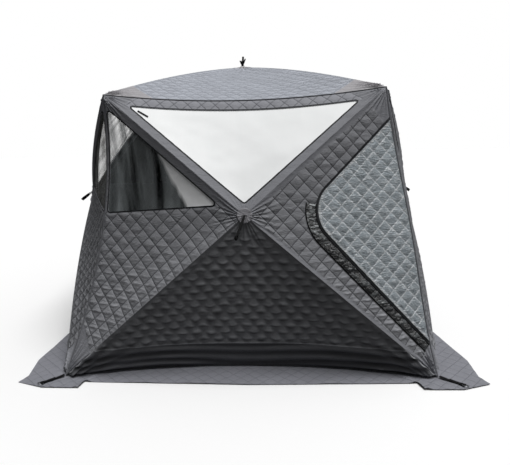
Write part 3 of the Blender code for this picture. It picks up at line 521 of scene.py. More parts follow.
CAP_BELOW_BAR = 0.014
FRONT_PATCH = 0.047
WALL_PATCH = 0.066
PATCH_LOBE = 0.045
PATCH_PLEATS = 13
PATCH_CLOTH = 0.0011
POLE_DEPTH = 0.028
POLE_TIP_STOP = 0.085
POLE_TIP = 0.005
POLE_EYE = 0.0055
FERRULE = 0.0065
FRONT_STRAP = 0.014
KNOT_RADIUS = 0.010
KNOT_SPREAD = 0.004
PEG_START = 0.012
PEG_LOW = 0.0125
PEG_HIGH = 0.0165
WALL_CORNERS = ("top_left", "top_right", "bottom_right", "bottom_left")
ROOF_CORNERS = ("back_left", "back_right", "front_right", "front_left")
SKIRT_CORNER = ((1.43, 0.49), (1.481, 0.976), (1.455, 1.197), (1.486, 1.283), (1.304, 1.350), (1.069, 1.353),
                (1.051, 1.275))
SKIRT_MIDDLE = 1.302
SKIRT_CLOTH = 0.0026
SKIRT_PLEATS = 17
SKIRT_TUCK = 0.010

WINDOW_FINISH = {"front_top_window": "sky_sheen_film", "front_left_window": "glare", "left_front_window": "clear",
                 "left_top_window": "clear"}
WINDOW_NODES = {
    "front": {UPPER: "front_top_window", LEFT_HAND: "front_left_window"},
    "left": {UPPER: "left_top_window", LEFT_HAND: "left_rear_window", RIGHT_HAND: "left_front_window"},
    "back": {UPPER: "back_top_window", LEFT_HAND: "back_right_window", RIGHT_HAND: "back_left_window"},
}


def window_outline(face, edge):
    """The clear triangle of an upper gore, or the clear upper half of a side gore."""
    if edge == UPPER:
        outer, far_pole, near_pole = gore_lines(face, UPPER, WINDOW_POLE_INSET, WINDOW_EAVE_INSET)
        points = [crossing(near_pole, outer), crossing(outer, far_pole), crossing(far_pole, near_pole)]
        return rounded(points, TOP_WINDOW_ROUNDS)
    outer, far_pole, near_pole = gore_lines(face, edge, SIDE_WINDOW_POLE_INSET, WINDOW_SEAM_INSET)
    upper_pole = far_pole if edge == LEFT_HAND else near_pole
    outward = -1 if edge == LEFT_HAND else 1
    sill = (Vector((0, WINDOW_SILL)), Vector((outward, WINDOW_SILL - WINDOW_SILL_FALL)))
    points = [crossing(outer, upper_pole), crossing(upper_pole, sill), crossing(sill, outer)]
    return rounded(points, SIDE_WINDOW_ROUNDS)


def zip_path(face, step):
    """The zip's centre line from the top of the corner seam round the apex to the foot of it."""
    top, foot = face.flat[1], face.flat[2]
    along = (foot - top).normalized()
    upper, lower = top + along * DOOR_TOP_DROP, foot - along * DOOR_FOOT_RISE
    behind = upper + lower - DOOR_APEX
    path = rounded([upper, DOOR_APEX, lower, behind], [0, DOOR_ROUND, 0, 0], 0.02)[:-1]
    return divided(path, step, closed=False)


def trimmed(path, line):
    """An open path whose first and last runs are cut or stretched to end on a line."""
    return [crossing((path[0], path[1]), line)] + path[1:-1] + [crossing((path[-2], path[-1]), line)]


# Cloth meshes

SPOT_STEP = 0.0042
TRIM_STEP = 0.006
FILM_STEP = 0.02
SKIRT_STEP = 0.018
PATCH_STEP = 0.0036
ROW_SHARE = 0.866
CLOTH_EDGE = math.radians(75)
TRIM_EDGE = math.radians(40)


def triangle_grid(low, high, step):
    """Rows of points, each row half a step aside from the last."""
    rows = np.arange(math.floor(low[1] / step / ROW_SHARE), math.ceil(high[1] / step / ROW_SHARE) + 1)
    columns = np.arange(math.floor(low[0] / step) - 1, math.ceil(high[0] / step) + 1)
    column, row = np.meshgrid(columns, rows)
    return np.stack([(column + 0.5 * (row % 2)) * step, row * step * ROW_SHARE], axis=-1).reshape(-1, 2)


def triangulate(outline, holes, marks, step, spots=()):
    """Fine triangles over a pattern outline with holes, with mesh edges along the marks. Round each spot, a
    place and a reach, they are finer still."""
    loops = [divided(loop, step) for loop in [outline, *holes]]
    lines = [divided(mark, step, closed=False) for mark in marks]
    points, edges = [], []
    for loop in loops:
        start = len(points)
        edges += [(start + k, start + (k + 1) % len(loop)) for k in range(len(loop))]
        points += loop
    for line in lines:
        start = len(points)
        edges += [(start + k, start + k + 1) for k in range(len(line) - 1)]
        points += line
    low = np.min([tuple(p) for p in outline], axis=0)
    high = np.max([tuple(p) for p in outline], axis=0)
    grid = triangle_grid(low, high, step)
    for spot, reach in spots:
        x, y = spot
        near = triangle_grid((x - reach, y - reach), (x + reach, y + reach), SPOT_STEP)
        grid = grid[np.linalg.norm(grid - np.array(spot), axis=1) > reach + step * 0.4]
        grid = np.vstack([grid, near[np.linalg.norm(near - np.array(spot), axis=1) < reach]])
    keep = within(grid, loops[0])
    for hole in loops[1:]:
        keep &= ~within(grid, hole)
    grid = grid[keep]
    clear = np.ones(len(grid), bool)
    for loop in loops:
        clear &= from_path(grid, loop) > min(step * 0.5, 0.003)
    for line in lines:
        clear &= from_path(grid, line, closed=False) > min(step * 0.5, 0.003)
    points += [Vector(p) for p in grid[clear]]
    flat, _, faces, *_ = delaunay_2d_cdt(points, edges, [], 1, 1e-7)
    flat = np.array([tuple(p) for p in flat])
    faces = np.array([f for f in faces if len(f) == 3])
    middles = flat[faces].mean(axis=1)
    keep = np.ones(len(faces), bool)
    for hole in loops[1:]:
        keep &= ~within(middles, hole)
    return flat, faces[keep]


def cloth_object(name, flat, faces, above, below, zones, finishes, stretch=1.0, relief=None):
    """A closed sheet from its upper and lower points. Zones give each triangle's finish on the upper side, by
    default the first, and the last finish is the lower side's. The last argument is above 0 on the tops of
    folds, where a highlight is painted pale, and below 0 in creases, where shade is painted dark."""
    zones = np.zeros(len(faces), int) if zones is None else zones
    used = np.unique(faces)
    index = np.full(len(flat), -1)
    index[used] = np.arange(len(used))
    flat, above, below, faces = flat[used], above[used], below[used], index[faces]
    count = len(flat)
    sides = dict.fromkeys(pair for a, b, c in faces.tolist() for pair in ((a, b), (b, c), (c, a)))
    rim = [(b, a, a + count, b + count) for a, b in sides if (b, a) not in sides]
    polygons = faces.tolist() + (faces[:, ::-1] + count).tolist() + rim
    mesh = bpy.data.meshes.new(name)
    mesh.from_pydata(np.vstack([above, below]), [], polygons)
    for finish in finishes:
        mesh.materials.append(finish)
    lining = len(finishes) - 1
    index = np.concatenate([zones, np.full(len(faces), lining), np.zeros(len(rim), int)]).astype(np.int32)
    mesh.polygons.foreach_set("material_index", index)
    pattern = mesh.uv_layers.new(name="pattern")
    corners = np.zeros(len(mesh.loops), np.int32)
    mesh.loops.foreach_get("vertex_index", corners)
    drawn = np.vstack([flat, flat]) / np.array([stretch, 1.0])
    pattern.data.foreach_set("uv", drawn[corners].astype(np.float32).ravel())
    # Painted highlight and shade of the folds, kept on the points for the cloth's colour
    if relief is not None:
        fold_shading_layer = mesh.attributes.new("relief", "FLOAT", "POINT")
        fold_shading_layer.data.foreach_set("value", np.tile(relief[used], 2).astype(np.float32))
    mesh.shade_smooth()
    mesh.set_sharp_from_angle(angle=CLOTH_EDGE)
    made = bpy.data.objects.new(name, mesh)
    bpy.context.scene.collection.objects.link(made)
    return made


def gore_blend(piece, face, edge):
    """Bakes a piece's place into its mesh, on every face alike; the foot of the gore's outer seam is found
    but not used.
    """
    foot = face.seam_foot(edge)
    if face.name == "front":
        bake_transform(piece)
    else:
        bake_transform(piece)


def put(piece, node, body=None):
    """Lets a piece stand for a node of the frame and lets it ride on a body."""
    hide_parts(node)
    if body:
        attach(piece, body)


def declare_cut(flat, faces):
    """Works out the area and size of a piece's flat pattern, a frame round a window counted as pieced from
    strips, and keeps nothing.
    """
    a, b, c = flat[faces[:, 0]], flat[faces[:, 1]], flat[faces[:, 2]]
    twice = (b[:, 0] - a[:, 0]) * (c[:, 1] - a[:, 1]) - (b[:, 1] - a[:, 1]) * (c[:, 0] - a[:, 0])
    area = float(np.abs(twice).sum() / 2)
    width, length = (float(x) for x in np.ptp(flat[np.unique(faces)], axis=0))
    if area < 0.35 * width * length:
        length = area / (0.6 * width)


def quilt_puff(flat, skew, stretch=1.0, power=0.7):
    """The rise of the wadding, 0 on the stitching and 1 near the middle of a diamond. Skew moves the peak up
    the diamond, so that its upper slope is the steeper, and a high power makes soft humps."""
    part_a, part_b = diamond(flat, stretch)
    pillow = (np.sin(np.pi * part_a) * np.sin(np.pi * part_b)) ** power
    return pillow * (1 + skew * (part_a - part_b))


def diamond(flat, stretch):
    """Where points lie in their diamond, from 0 to 1 along each of its sides."""
    width, height = cloth().diamond_width * stretch, cloth().diamond_height
    a = flat[:, 0] / width + flat[:, 1] / height
    b = flat[:, 0] / width - flat[:, 1] / height
    return a - np.floor(a), b - np.floor(b)


def level_crease(flat, stretch, seed):
    """Above 0 on the upper half of a slack diamond and below 0 in the level crease under it."""
    part_a, part_b = diamond(flat, stretch)
    level = part_a - part_b + 0.25 * lattice_noise(flat[:, 0] * 21, flat[:, 1] * 21, seed)
    middle = (np.sin(np.pi * part_a) * np.sin(np.pi * part_b)) ** 0.6
    return middle * (np.exp(-((level - 0.16) / 0.17) ** 2) - 1.1 * np.exp(-((level + 0.14) / 0.15) ** 2))


def fan_folds(flat, centre, count, reach, seed, level=0.0):
    """Pleats that run out from a point where the cloth is gathered, fading over the reach, above a level."""
    away = flat - np.array(centre)
    distance = np.linalg.norm(away, axis=1)
    bearing = np.arctan2(away[:, 1], away[:, 0])
    ring = np.cos(bearing * count + 1.3 * lattice_noise(bearing * 5, distance * 5, seed))
    fading = np.exp(-(distance / reach) ** 2) * smooth(distance, 0.0, 0.03)
    return ((1 - np.abs(ring)) ** 0.8 - level) * fading


class Gore:
    """One gore's quilting, zones and wrinkles."""

    def __init__(self, face, edge, puff, window, plain_poles, patches, crinkle=0.0, rows=0.0, hem=0.0,
                 under=None, stretch=1.0, power=0.45):
        self.face, self.edge, self.puff, self.window = face, edge, puff, window
        self.plain_poles, self.patches, self.crinkle, self.rows = plain_poles, patches, crinkle, rows
        self.hem, self.under, self.stretch, self.power = hem, under, stretch, power
        self.ends = face.pole_ends(edge)
        self.seed = face.seed * 10 + edge
        self.low = edge == LOWER and face.name != "roof"
        # The window's frame keeps the top gore smooth at the hub
        self.gathered = 0.25 if edge == UPPER and window else 0.6 if self.low else 1.0

    def pole_distance(self, flat):
        """How far points are from the gore's first and second pole line."""
        found = []
        for end in self.ends:
            along = np.array(end.normalized())
            found.append(np.abs(flat[:, 0] * along[1] - flat[:, 1] * along[0]))
        return found

    def seam_distance(self, flat):
        """How far points are from the gore's outer seam."""
        outer_a, outer_b = gore_lines(self.face, self.edge, 0, 0)[0]
        run = np.array((outer_b - outer_a).normalized())
        return np.abs((flat[:, 0] - outer_a.x) * run[1] - (flat[:, 1] - outer_a.y) * run[0])

    def plain_bands(self, flat):
        """How far points are from each pole with a plain band or corner patch, and how wide that is."""
        near = self.pole_distance(flat)
        for k, end in enumerate(self.ends):
            if self.plain_poles[k]:
                yield near[k], self.plain_poles[k]
            if self.patches[k]:
                yield end.length - flat @ np.array(end.normalized()), self.patches[k]

    def zone(self, flat):
        """0 where points are quilted, 1 where plain and 2 on the window's tape."""
        result = np.zeros(len(flat), int)
        for distance, width in self.plain_bands(flat):
            result[distance < width] = 1
        if self.hem:
            result[self.seam_distance(flat) < self.hem] = 1
        if self.window:
            result[within(flat, self.tape_outline())] = 2
        return result

    def tape_outline(self):
        """The outer edge of the window's tape."""
        return shrunk(self.window, -cloth().tape)

    def marks(self):
        """Pattern lines where the mesh needs edges: borders of the plain cloth and the tape."""
        lines = []
        outer = gore_lines(self.face, self.edge, 0, SETBACK)[0]
        for k, end in enumerate(self.ends):
            along = end.normalized()
            inward = Vector((-along.y, along.x)) * (-1 if k == 0 else 1)
            aside = inward * self.plain_poles[k]
            if self.plain_poles[k]:
                lines.append([crossing(outer, (aside, end + aside)), along * cloth().hub_hole * 1.4 + aside])
            if self.patches[k]:
                start = along * (end.length - self.patches[k])
                lines.append([start, crossing(outer, (start, start + inward))])
        if self.window:
            tape = self.tape_outline()
            lines.append([*tape, tape[0]])
        return lines

    def plain(self, flat):
        """1 on plain cloth and 0 on quilted cloth, with a short slope between."""
        found = np.zeros(len(flat))
        for distance, width in self.plain_bands(flat):
            found = np.maximum(found, 1 - smooth(distance, width - 0.003, width + 0.010))
        return found

    def calm(self, flat):
        """1 where the quilting is free to puff, 0 where seams, tape, hub or a piece on top hold it down."""
        seam, hub = self.seam_distance(flat), np.linalg.norm(flat, axis=1)
        free = smooth(seam, 0.006, 0.024) * smooth(np.minimum(*self.pole_distance(flat)), 0.004, 0.024)
        free *= smooth(hub, 0.07, 0.15)
        if self.window:
            free *= smooth(from_path(flat, self.window), cloth().tape, cloth().tape + 0.012)
        if self.hem:
            free *= smooth(seam, self.hem - 0.004, self.hem + 0.012)
        if self.under:
            outside = smooth(from_path(flat, self.under), 0.0, 0.02) * (1 - COVERED_PUFF) + COVERED_PUFF
            free *= np.where(within(flat, self.under), COVERED_PUFF, outside)
        return free

    def long_fold(self, flat, seam):
        """Folds along the foot, from -1 to 1."""
        wander = 0.45 * lattice_noise(flat[:, 0] * 1.7, seam * 9, self.seed + 5)
        strength = 0.75 + 0.25 * lattice_noise(flat[:, 0] * 4, seam * 9, self.seed)
        return np.sin(2 * np.pi * (seam / FOOT_FOLD + wander)) * strength

    def hub_fan(self, flat, reach, level=0.0):
        """The gathers at the hub."""
        return self.gathered * fan_folds(flat, (0, 0), HUB_PLEATS, reach, self.seed, level)

    def corner_fan(self, flat, k, reach, level=0.0):
        """The short pleats at the end of a pole."""
        return fan_folds(flat, self.ends[k], CORNER_PLEATS, reach, self.seed + k, level)

    def foot_fan(self, flat, k, level=0.0):
        """The long pleats that run up from a corner of the foot."""
        return fan_folds(flat, self.ends[k], FOOT_PLEATS, FOOT_PLEAT_REACH, self.seed + k + 4, level)

    def relief(self, flat):
        """The tops and creases of the large folds, for the painted highlights on the tops and painted shade
        in the creases.
        """
        seam = self.seam_distance(flat)
        found = 0.5 * self.hub_fan(flat, 0.15, 0.42)
        for k, end in enumerate(self.ends):
            found += (0.5 if end.y > 0 else 0.9) * self.corner_fan(flat, k, 0.17, 0.42)
            if self.low:
                found += 0.9 * self.foot_fan(flat, k, 0.35)
        slack = 0.42 if self.low else 0.34 * smooth(-flat[:, 1], 0.0, 0.6)
        if self.face.name != "roof":
            free = self.calm(flat) * (1 - self.plain(flat))
            found += slack * level_crease(flat, self.stretch, self.seed + 9) * free
        if self.hem:
            band = smooth(seam, 0.0, 0.02) * (1 - smooth(seam, self.hem * 0.9, self.hem))
            found += 0.42 * self.long_fold(flat, seam) * band
            # A painted highlight along the hem's seam and a painted dark line beside it
            found += 0.45 * np.exp(-((seam - self.hem) / 0.005) ** 2)
            found -= 0.3 * np.exp(-((seam - self.hem - 0.012) / 0.006) ** 2)
        return np.clip(found, -0.5, 0.5)

    def height(self, flat):
        """How far the outer cloth stands above the skin."""
        u, v = flat[:, 0], flat[:, 1]
        seam = self.seam_distance(flat)
        pole = np.minimum(*self.pole_distance(flat))
        plain = self.plain(flat)
        quilted = self.calm(flat) * (1 - plain)
        height = self.puff * quilt_puff(flat, 0.0, self.stretch, self.power) * quilted
        height *= 1 + 0.25 * lattice_noise(u * 9, v * 9, self.seed)
        height += PLAIN_CLOTH_RISE * plain * smooth(seam, 0.010, 0.014)
        if self.crinkle:
            bent = v * 46 + 0.9 * lattice_noise(u * 7, v * 7, self.seed)
            height += self.crinkle * lattice_noise(u * 15, bent, self.seed + 3) * quilted
        if self.rows:
            reach = self.hem or 0.6
            band = smooth(seam, 0.008, 0.03) * (1 - smooth(seam, reach * 0.9, reach * 1.1))
            height += self.rows * (0.9 + self.long_fold(flat, seam)) * band
        if self.hem:
            height += HEM_SEAM_RISE * np.exp(-((seam - self.hem) / 0.007) ** 2)
        apart = smooth(pole, 0.0, 0.010)
        height += HUB_PLEAT_RISE * self.hub_fan(flat, HUB_PLEAT_REACH) * apart
        for k, end in enumerate(self.ends):
            rise = UPPER_CORNER_RISE if end.y > 0 else LOWER_CORNER_RISE
            drawn = rise * self.corner_fan(flat, k, CORNER_PLEAT_REACH)
            if self.low:
                drawn += FOOT_PLEAT_RISE * self.foot_fan(flat, k)
            height += drawn * apart * smooth(seam, 0.004, 0.02)
        if self.window:
            tape, away = cloth().tape, from_path(flat, self.window)
            height += WINDOW_TAPE_RISE * (1 - smooth(away, tape * 0.6, tape))
        return np.maximum(height, LEAST_RISE) * smooth(seam, 0.003, 0.014) + POLE_RIDGE * (1 - apart)


def make_gore(name, node, gore, step, finishes, outline=None):
    """One gore of quilted cloth with its window cut out."""
    outline = outline or gore_outline(gore.face, gore.edge, SETBACK)
    holes = [gore.window] if gore.window else []
    spots = [((0, 0), 0.22), *((end, 0.20) for end in gore.ends)]
    flat, faces = triangulate(outline, holes, gore.marks(), step, spots)
    height = gore.height(flat)
    above = gore.face.surface(gore.edge, flat, height)
    below = gore.face.surface(gore.edge, flat, height * BELOW_SHARE - cloth().quilt)
    zones = gore.zone(flat[faces].mean(axis=1))
    piece = cloth_object(name, flat, faces, above, below, zones, finishes, gore.stretch, gore.relief(flat))
    put(piece, node)
    gore_blend(piece, gore.face, gore.edge)
    declare_cut(flat, faces)


def lay_piece(name, face, edge, outline, step, height, thickness, finishes, zone=None):
    """A flat piece cut to an outline and laid on a gore at a height that may change over it."""
    flat, faces = triangulate(outline, [], [], step)
    rise = height(flat) if callable(height) else np.full(len(flat), height)
    above = face.surface(edge, flat, rise)
    below = face.surface(edge, flat, rise - thickness)
    zones = zone(flat[faces].mean(axis=1)) if zone else None
    return cloth_object(name, flat, faces, above, below, zones, finishes), flat, faces


# Modelled trim

def finish_piece(piece, name, finish):
    """Names a new piece, leaves its place in its mesh and gives it its finish."""
    bpy.ops.object.transform_apply(location=True, rotation=True, scale=True)
    piece.name = name
    piece.data.name = name
    piece.data.materials.clear()
    piece.data.materials.append(finish)
    bpy.ops.object.shade_smooth_by_angle(angle=TRIM_EDGE)
    return piece


def piped(name, path, radius, finish, radii=None):
    """A round rod or piping along a path: a curve with a round bevel, made a mesh."""
    bpy.ops.object.select_all(action="DESELECT")
    bpy.ops.curve.primitive_bezier_curve_add()
    piece = bpy.context.active_object
    line = piece.data
    line.splines.clear()
    spline = line.splines.new("POLY")
    spline.points.add(len(path) - 1)
    for k, (point, place) in enumerate(zip(spline.points, path)):
        point.co = (*place, 1.0)
        point.radius = radii[k] if radii else 1.0
    line.bevel_depth = radius
    line.bevel_resolution = 2
    line.use_fill_caps = True
    bpy.ops.object.convert(target="MESH")
    piece = bpy.context.active_object
    bpy.ops.object.mode_set(mode="EDIT")
    bpy.ops.mesh.select_all(action="SELECT")
    bpy.ops.mesh.remove_doubles(threshold=1e-5)
    bpy.ops.mesh.normals_make_consistent(inside=False)
    bpy.ops.object.mode_set(mode="OBJECT")
    return finish_piece(piece, name, finish)


def strap(name, path, across, width, thickness, twists=None):
    """A webbing strap: one edge drawn out along its path, then given its thickness and rounded selvedges.
    Where it is twisted, each place on the path has a turn of its own about the strap's length."""
    half = Vector(across).normalized() * width / 2
    bpy.ops.object.select_all(action="DESELECT")
    bpy.ops.mesh.primitive_plane_add(size=1.0)
    piece = bpy.context.active_object
    first, second = path[0], path[1]
    for vertex, place in zip(piece.data.vertices, (first - half, first + half, second - half, second + half)):
        vertex.co = place
    bpy.ops.object.mode_set(mode="EDIT")
    mesh = bmesh.from_edit_mesh(piece.data)
    mesh.verts.ensure_lookup_table()
    for element in (*mesh.verts, *mesh.edges, *mesh.faces):
        element.select = False
    lead = mesh.edges.get((mesh.verts[2], mesh.verts[3]))
    lead.select = True
    for vertex in lead.verts:
        vertex.select = True
    mesh.select_flush_mode()
    bmesh.update_edit_mesh(piece.data)
    for before, after in zip(path[1:], path[2:]):
        bpy.ops.mesh.extrude_region_move(TRANSFORM_OT_translate={"value": after - before})
    bpy.ops.object.mode_set(mode="OBJECT")
    if twists:
        axis = (path[len(path) // 2] - path[0]).normalized()
        for vertex in piece.data.vertices:
            k = min(range(len(path)), key=lambda n: abs((vertex.co - path[n]).length - width / 2) +
                    abs((vertex.co - path[n]).dot(axis)))
            vertex.co = path[k] + Matrix.Rotation(twists[k], 3, axis) @ (vertex.co - path[k])
    wall = piece.modifiers.new("webbing", "SOLIDIFY")
    wall.thickness = thickness
    wall.offset = 0.0
    bpy.ops.object.modifier_apply(modifier=wall.name)
    edge = piece.modifiers.new("selvedge", "BEVEL")
    edge.width = thickness * 0.3
    edge.segments = 1
    edge.limit_method = "ANGLE"
    edge.angle_limit = math.radians(60)
    bpy.ops.object.modifier_apply(modifier=edge.name)
    return finish_piece(piece, name, FINISH["webbing"])


def loop_path(bar, down, aside, length, spread):
    """A hanging loop of webbing: round its bar, down with a bulge, round its end and back up."""
    wrap, steps = 0.0035, 14
    shares = [k / steps for k in range(steps + 1)]
    path = []
    for side, order in ((1, shares), (-1, shares[::-1])):
        for t in order:
            bulge = wrap * (1 - 0.6 * t) + spread * math.sin(math.pi * t) ** 0.8
            path.append(bar + down * length * t + aside * side * bulge)
    return [*path, bar - down * wrap - aside * wrap * 0.5, bar - down * wrap + aside * wrap * 0.5]


# Materials

def is_link(value):
    """Whether a value is a node, or a node and its output, rather than a number, vector or colour."""
    return isinstance(value[0] if isinstance(value, tuple) else value, bpy.types.Node)


def feed(tree, node, links):
    """Links what drives a node's inputs. A link is a node, and its output where it isn't the first."""
    for key, source in links.items():
        source, output = source if isinstance(source, tuple) else (source, 0)
        tree.links.new(source.outputs[output], node.inputs[key])


def add_node(tree, kind, settings=None):
    """A node with its settings, each of them a property, an input's value or an input's link."""
    node = tree.nodes.new("ShaderNode" + kind)
    for key, value in (settings or {}).items():
        if is_link(value):
            feed(tree, node, {key: value})
        elif isinstance(key, str) and hasattr(node, key):
            setattr(node, key, value)
        else:
            node.inputs[key].default_value = value
    return node


def calc(tree, operation, *operands):
    """A Math node on links and numbers."""
    return add_node(tree, "Math", {"operation": operation, **dict(enumerate(operands))})


def ranged(tree, source, low, high, first=0.0, last=1.0, curve="LINEAR"):
    """A link whose values from low to high are mapped to those from first to last."""
    settings = {"interpolation_type": curve, 0: source, 1: low, 2: high, 3: first, 4: last}
    return add_node(tree, "MapRange", settings)


def mixed(tree, share, one, other):
    """A colour that goes from one to the other with a share."""
    return add_node(tree, "Mix", {"data_type": "RGBA", 0: share, 6: one, 7: other}), 2


def mixed_value(tree, share, one, other):
    """A value that goes from one to the other with a share."""
    return add_node(tree, "Mix", {"data_type": "FLOAT", 0: share, 2: one, 3: other})


def bumped(tree, height, strength, distance, settings=None):
    """A Bump node."""
    base = {"Strength": strength, "Distance": distance, "Height": height}
    return add_node(tree, "Bump", {**base, **(settings or {})})


def seen(tree):
    """1 to the camera, straight or through film, and 0 to the light that falls on things."""
    path = add_node(tree, "LightPath")
    return calc(tree, "MAXIMUM", path, (path, 6))


def toned(code, factor, lift=0.0):
    """A colour made paler or darker."""
    return [min(1.0, v * factor + lift) for v in linear(code)[:3]] + [1.0]


def new_material(name, settings):
    """A material with a Principled shader, and its tree and shader."""
    made = bpy.data.materials.new(name)
    made.use_nodes = True
    shader = made.node_tree.nodes["Principled BSDF"]
    for key, value in settings.items():
        shader.inputs[key].default_value = value
    return made, made.node_tree, shader


def coated_oxford(name, base, thread_and_glint_colour=None, quilted=True, roughness=0.62, metallic=0.0, crush=0.5, gloss=0.2,
                  contrast=0.16, thread_share=1.0, wear=(0.3, 0.6), fade=(0.015, 0.055), pleats=None, lit=0.0,
                  glints=0.0, groove=-0.35, creases=26.0):
    """Coated Oxford polyester: a fairly matt cloth whose coating creases finely along the quilting. Its plain
    weave, about 0.5 mm, would be too fine to show and is drawn at 2.5 mm. The stitching shows paler or darker
    than the cloth, and glints paint highlights in its colour on the tops of the crease noise. Slack cloth has
    level pleats in each diamond: their spacing, width, depth and the heights between which they begin; lit is
    the strength of the painted highlight on their tops and the painted shade under them. The folds of the
    mesh have painted highlights on their tops and painted shade in their creases."""
    c = cloth()
    made, tree, shader = new_material(name, {"Roughness": roughness, "Metallic": metallic,
                                             "Specular IOR Level": gloss})
    uv = add_node(tree, "UVMap", {"uv_map": "pattern"})
    split = add_node(tree, "SeparateXYZ", {0: uv})
    weave = add_node(tree, "TexChecker", {"Scale": 400.0, "Vector": uv})
    blotch = add_node(tree, "TexNoise", {"Scale": 6.0, "Detail": 5.0, "Vector": uv})
    lengthways = add_node(tree, "Mapping", {"Scale": (1.0, 2.6, 1.0), 0: uv})
    crease = add_node(tree, "TexNoise", {"Scale": creases, "Detail": 5.0, "Roughness": 0.62,
                                         "Distortion": 1.4, "Vector": lengthways})
    last = mixed(tree, blotch, toned(base, 1 - contrast), toned(base, 1 + contrast))
    # Painted glints: the stitch colour laid on the tops of the crease noise, standing for highlights
    if glints:
        last = mixed(tree, ranged(tree, crease, 0.50, 0.62, 0.0, glints), last, linear(thread_and_glint_colour))
    height = calc(tree, "MULTIPLY", crease, crush)
    if quilted:
        across = calc(tree, "DIVIDE", split, c.diamond_width)
        upward = calc(tree, "DIVIDE", (split, 1), c.diamond_height)
        lines = [calc(tree, operation, across, upward) for operation in ("ADD", "SUBTRACT")]
        closest = calc(tree, "MINIMUM", *(calc(tree, "PINGPONG", line, 0.5) for line in lines))
        seam = ranged(tree, closest, *fade, thread_share, 0.0)
        shown = calc(tree, "MULTIPLY", seam, ranged(tree, crease, *wear))
        last = mixed(tree, shown, last, linear(thread_and_glint_colour or base))
        height = calc(tree, "ADD", height, ranged(tree, closest, 0.0, 0.07, groove, 0.0))
        if pleats:
            ridge, top, under = level_pleats(tree, lines, (split, 1), crease, closest, pleats, lit)
            height = calc(tree, "ADD", height, ridge)
            # Painted highlight on the pleats' tops and painted shade under them, as paler and darker copies
            # of the cloth
            last = mixed(tree, top, last, toned(base, 2.4))
            last = mixed(tree, under, last, toned(base, 0.25))
    # Painted highlight and shade of the folds: the cloth's colour is scaled up on their tops and down in
    # creases
    fold_shading_node = add_node(tree, "Attribute", {"attribute_name": "relief"})
    share = ranged(tree, (fold_shading_node, 2), -0.5, 0.5, 0.3, 1.7)
    shaded = add_node(tree, "VectorMath", {"operation": "SCALE", 0: last, 3: share})
    coarse = bumped(tree, height, 0.8, 0.010)
    fine = bumped(tree, (weave, 1), 0.15, 0.0006, {"Normal": coarse})
    rough = ranged(tree, blotch, 0.0, 1.0, roughness - 0.08, roughness + 0.1)
    feed(tree, shader, {"Base Color": shaded, "Normal": fine, "Roughness": rough})
    return made


def level_pleats(tree, lines, level, crease, closest, pleats, lit):
    """The rise of short level pleats that fade towards the stitching and begin below a height in the pattern,
    the share of painted highlight on their tops and the share of painted shade under them."""
    spacing, width, depth, start, full = pleats
    up = calc(tree, "SUBTRACT", *(calc(tree, "FRACT", line) for line in lines))
    bent = calc(tree, "ADD", up, ranged(tree, crease, 0.0, 1.0, -0.35, 0.35))
    free = calc(tree, "MULTIPLY", ranged(tree, closest, 0.03, 0.22), ranged(tree, level, start, full))
    found = []
    for shift, reach, strength in ((0.0, width, depth), (-0.45 * width, 0.55 * width, lit),
                                   (0.75 * width, 0.8 * width, lit)):
        off = calc(tree, "PINGPONG", calc(tree, "ADD", bent, shift), spacing / 2)
        found.append(calc(tree, "MULTIPLY", ranged(tree, off, 0.0, reach, strength, 0.0, "SMOOTHSTEP"), free))
    return found


def clear_film(name, paler_painted_tone, darker_painted_tone, cover, glare=False, ripples=0.3, roughness=0.10):
    """Clear PVC film. It bends light little, so it is drawn as a thin veil: painted tones over a share of it,
    pale where they stand for daylight caught on the film and dark where they stand for the shade inside, a
    sharp gloss, and the rest open to what lies behind."""
    made, tree, shader = new_material(name, {"Base Color": linear(paler_painted_tone), "Roughness": roughness, "IOR": 1.45})
    uv = add_node(tree, "UVMap", {"uv_map": "pattern"})
    streak = add_node(tree, "Mapping", {"Scale": (7.0, 1.2, 1.0), "Rotation": (0.0, 0.0, 0.5), 0: uv})
    cloud = add_node(tree, "TexNoise", {"Scale": 1.3, "Detail": 5.0, "Distortion": 0.8, "Vector": streak})
    ripple = add_node(tree, "TexNoise", {"Scale": 9.0, "Detail": 2.0, "Vector": uv})
    # Painted reflection and painted shade: the veil's colour runs between its paler and its darker painted
    # tone
    tone = mixed(tree, cloud, linear(darker_painted_tone), linear(paler_painted_tone))
    shown = ranged(tree, cloud, 0.35, 0.72, *cover)
    if glare:
        # Daylight caught where the film leans towards the hub
        split = add_node(tree, "SeparateXYZ", {0: uv})
        lean = calc(tree, "MULTIPLY_ADD", (split, 1), 0.48, split)
        lit = ranged(tree, calc(tree, "MULTIPLY_ADD", cloud, 0.10, lean), -0.345, -0.315)
        shown = mixed_value(tree, lit, shown, 0.97)
        tone = mixed(tree, lit, tone, linear("#fbfcfd"))
    feed(tree, shader, {"Base Color": tone, "Alpha": shown, "Normal": bumped(tree, ripple, ripples, 0.02)})
    return made


def simple_finish(name, base, roughness, metallic=0.0, grain=220.0, bump_height=0.0004, coat=0.0, gloss=0.5):
    """A plain finish with fine grain and slight change of tone, for moulded, drawn or woven parts."""
    made, tree, shader = new_material(name, {"Roughness": roughness, "Metallic": metallic,
                                             "Coat Weight": coat, "Specular IOR Level": gloss})
    place = (add_node(tree, "TexCoord"), 3)
    rough = add_node(tree, "TexNoise", {"Scale": grain, "Detail": 3.0, "Vector": place})
    wear = add_node(tree, "TexNoise", {"Scale": 12.0, "Detail": 4.0, "Vector": place})
    tone = mixed(tree, wear, toned(base, 0.75), toned(base, 1.3, 0.002))
    feed(tree, shader, {"Base Color": tone, "Normal": bumped(tree, rough, 0.4, bump_height)})
    return made


FINISH = {}


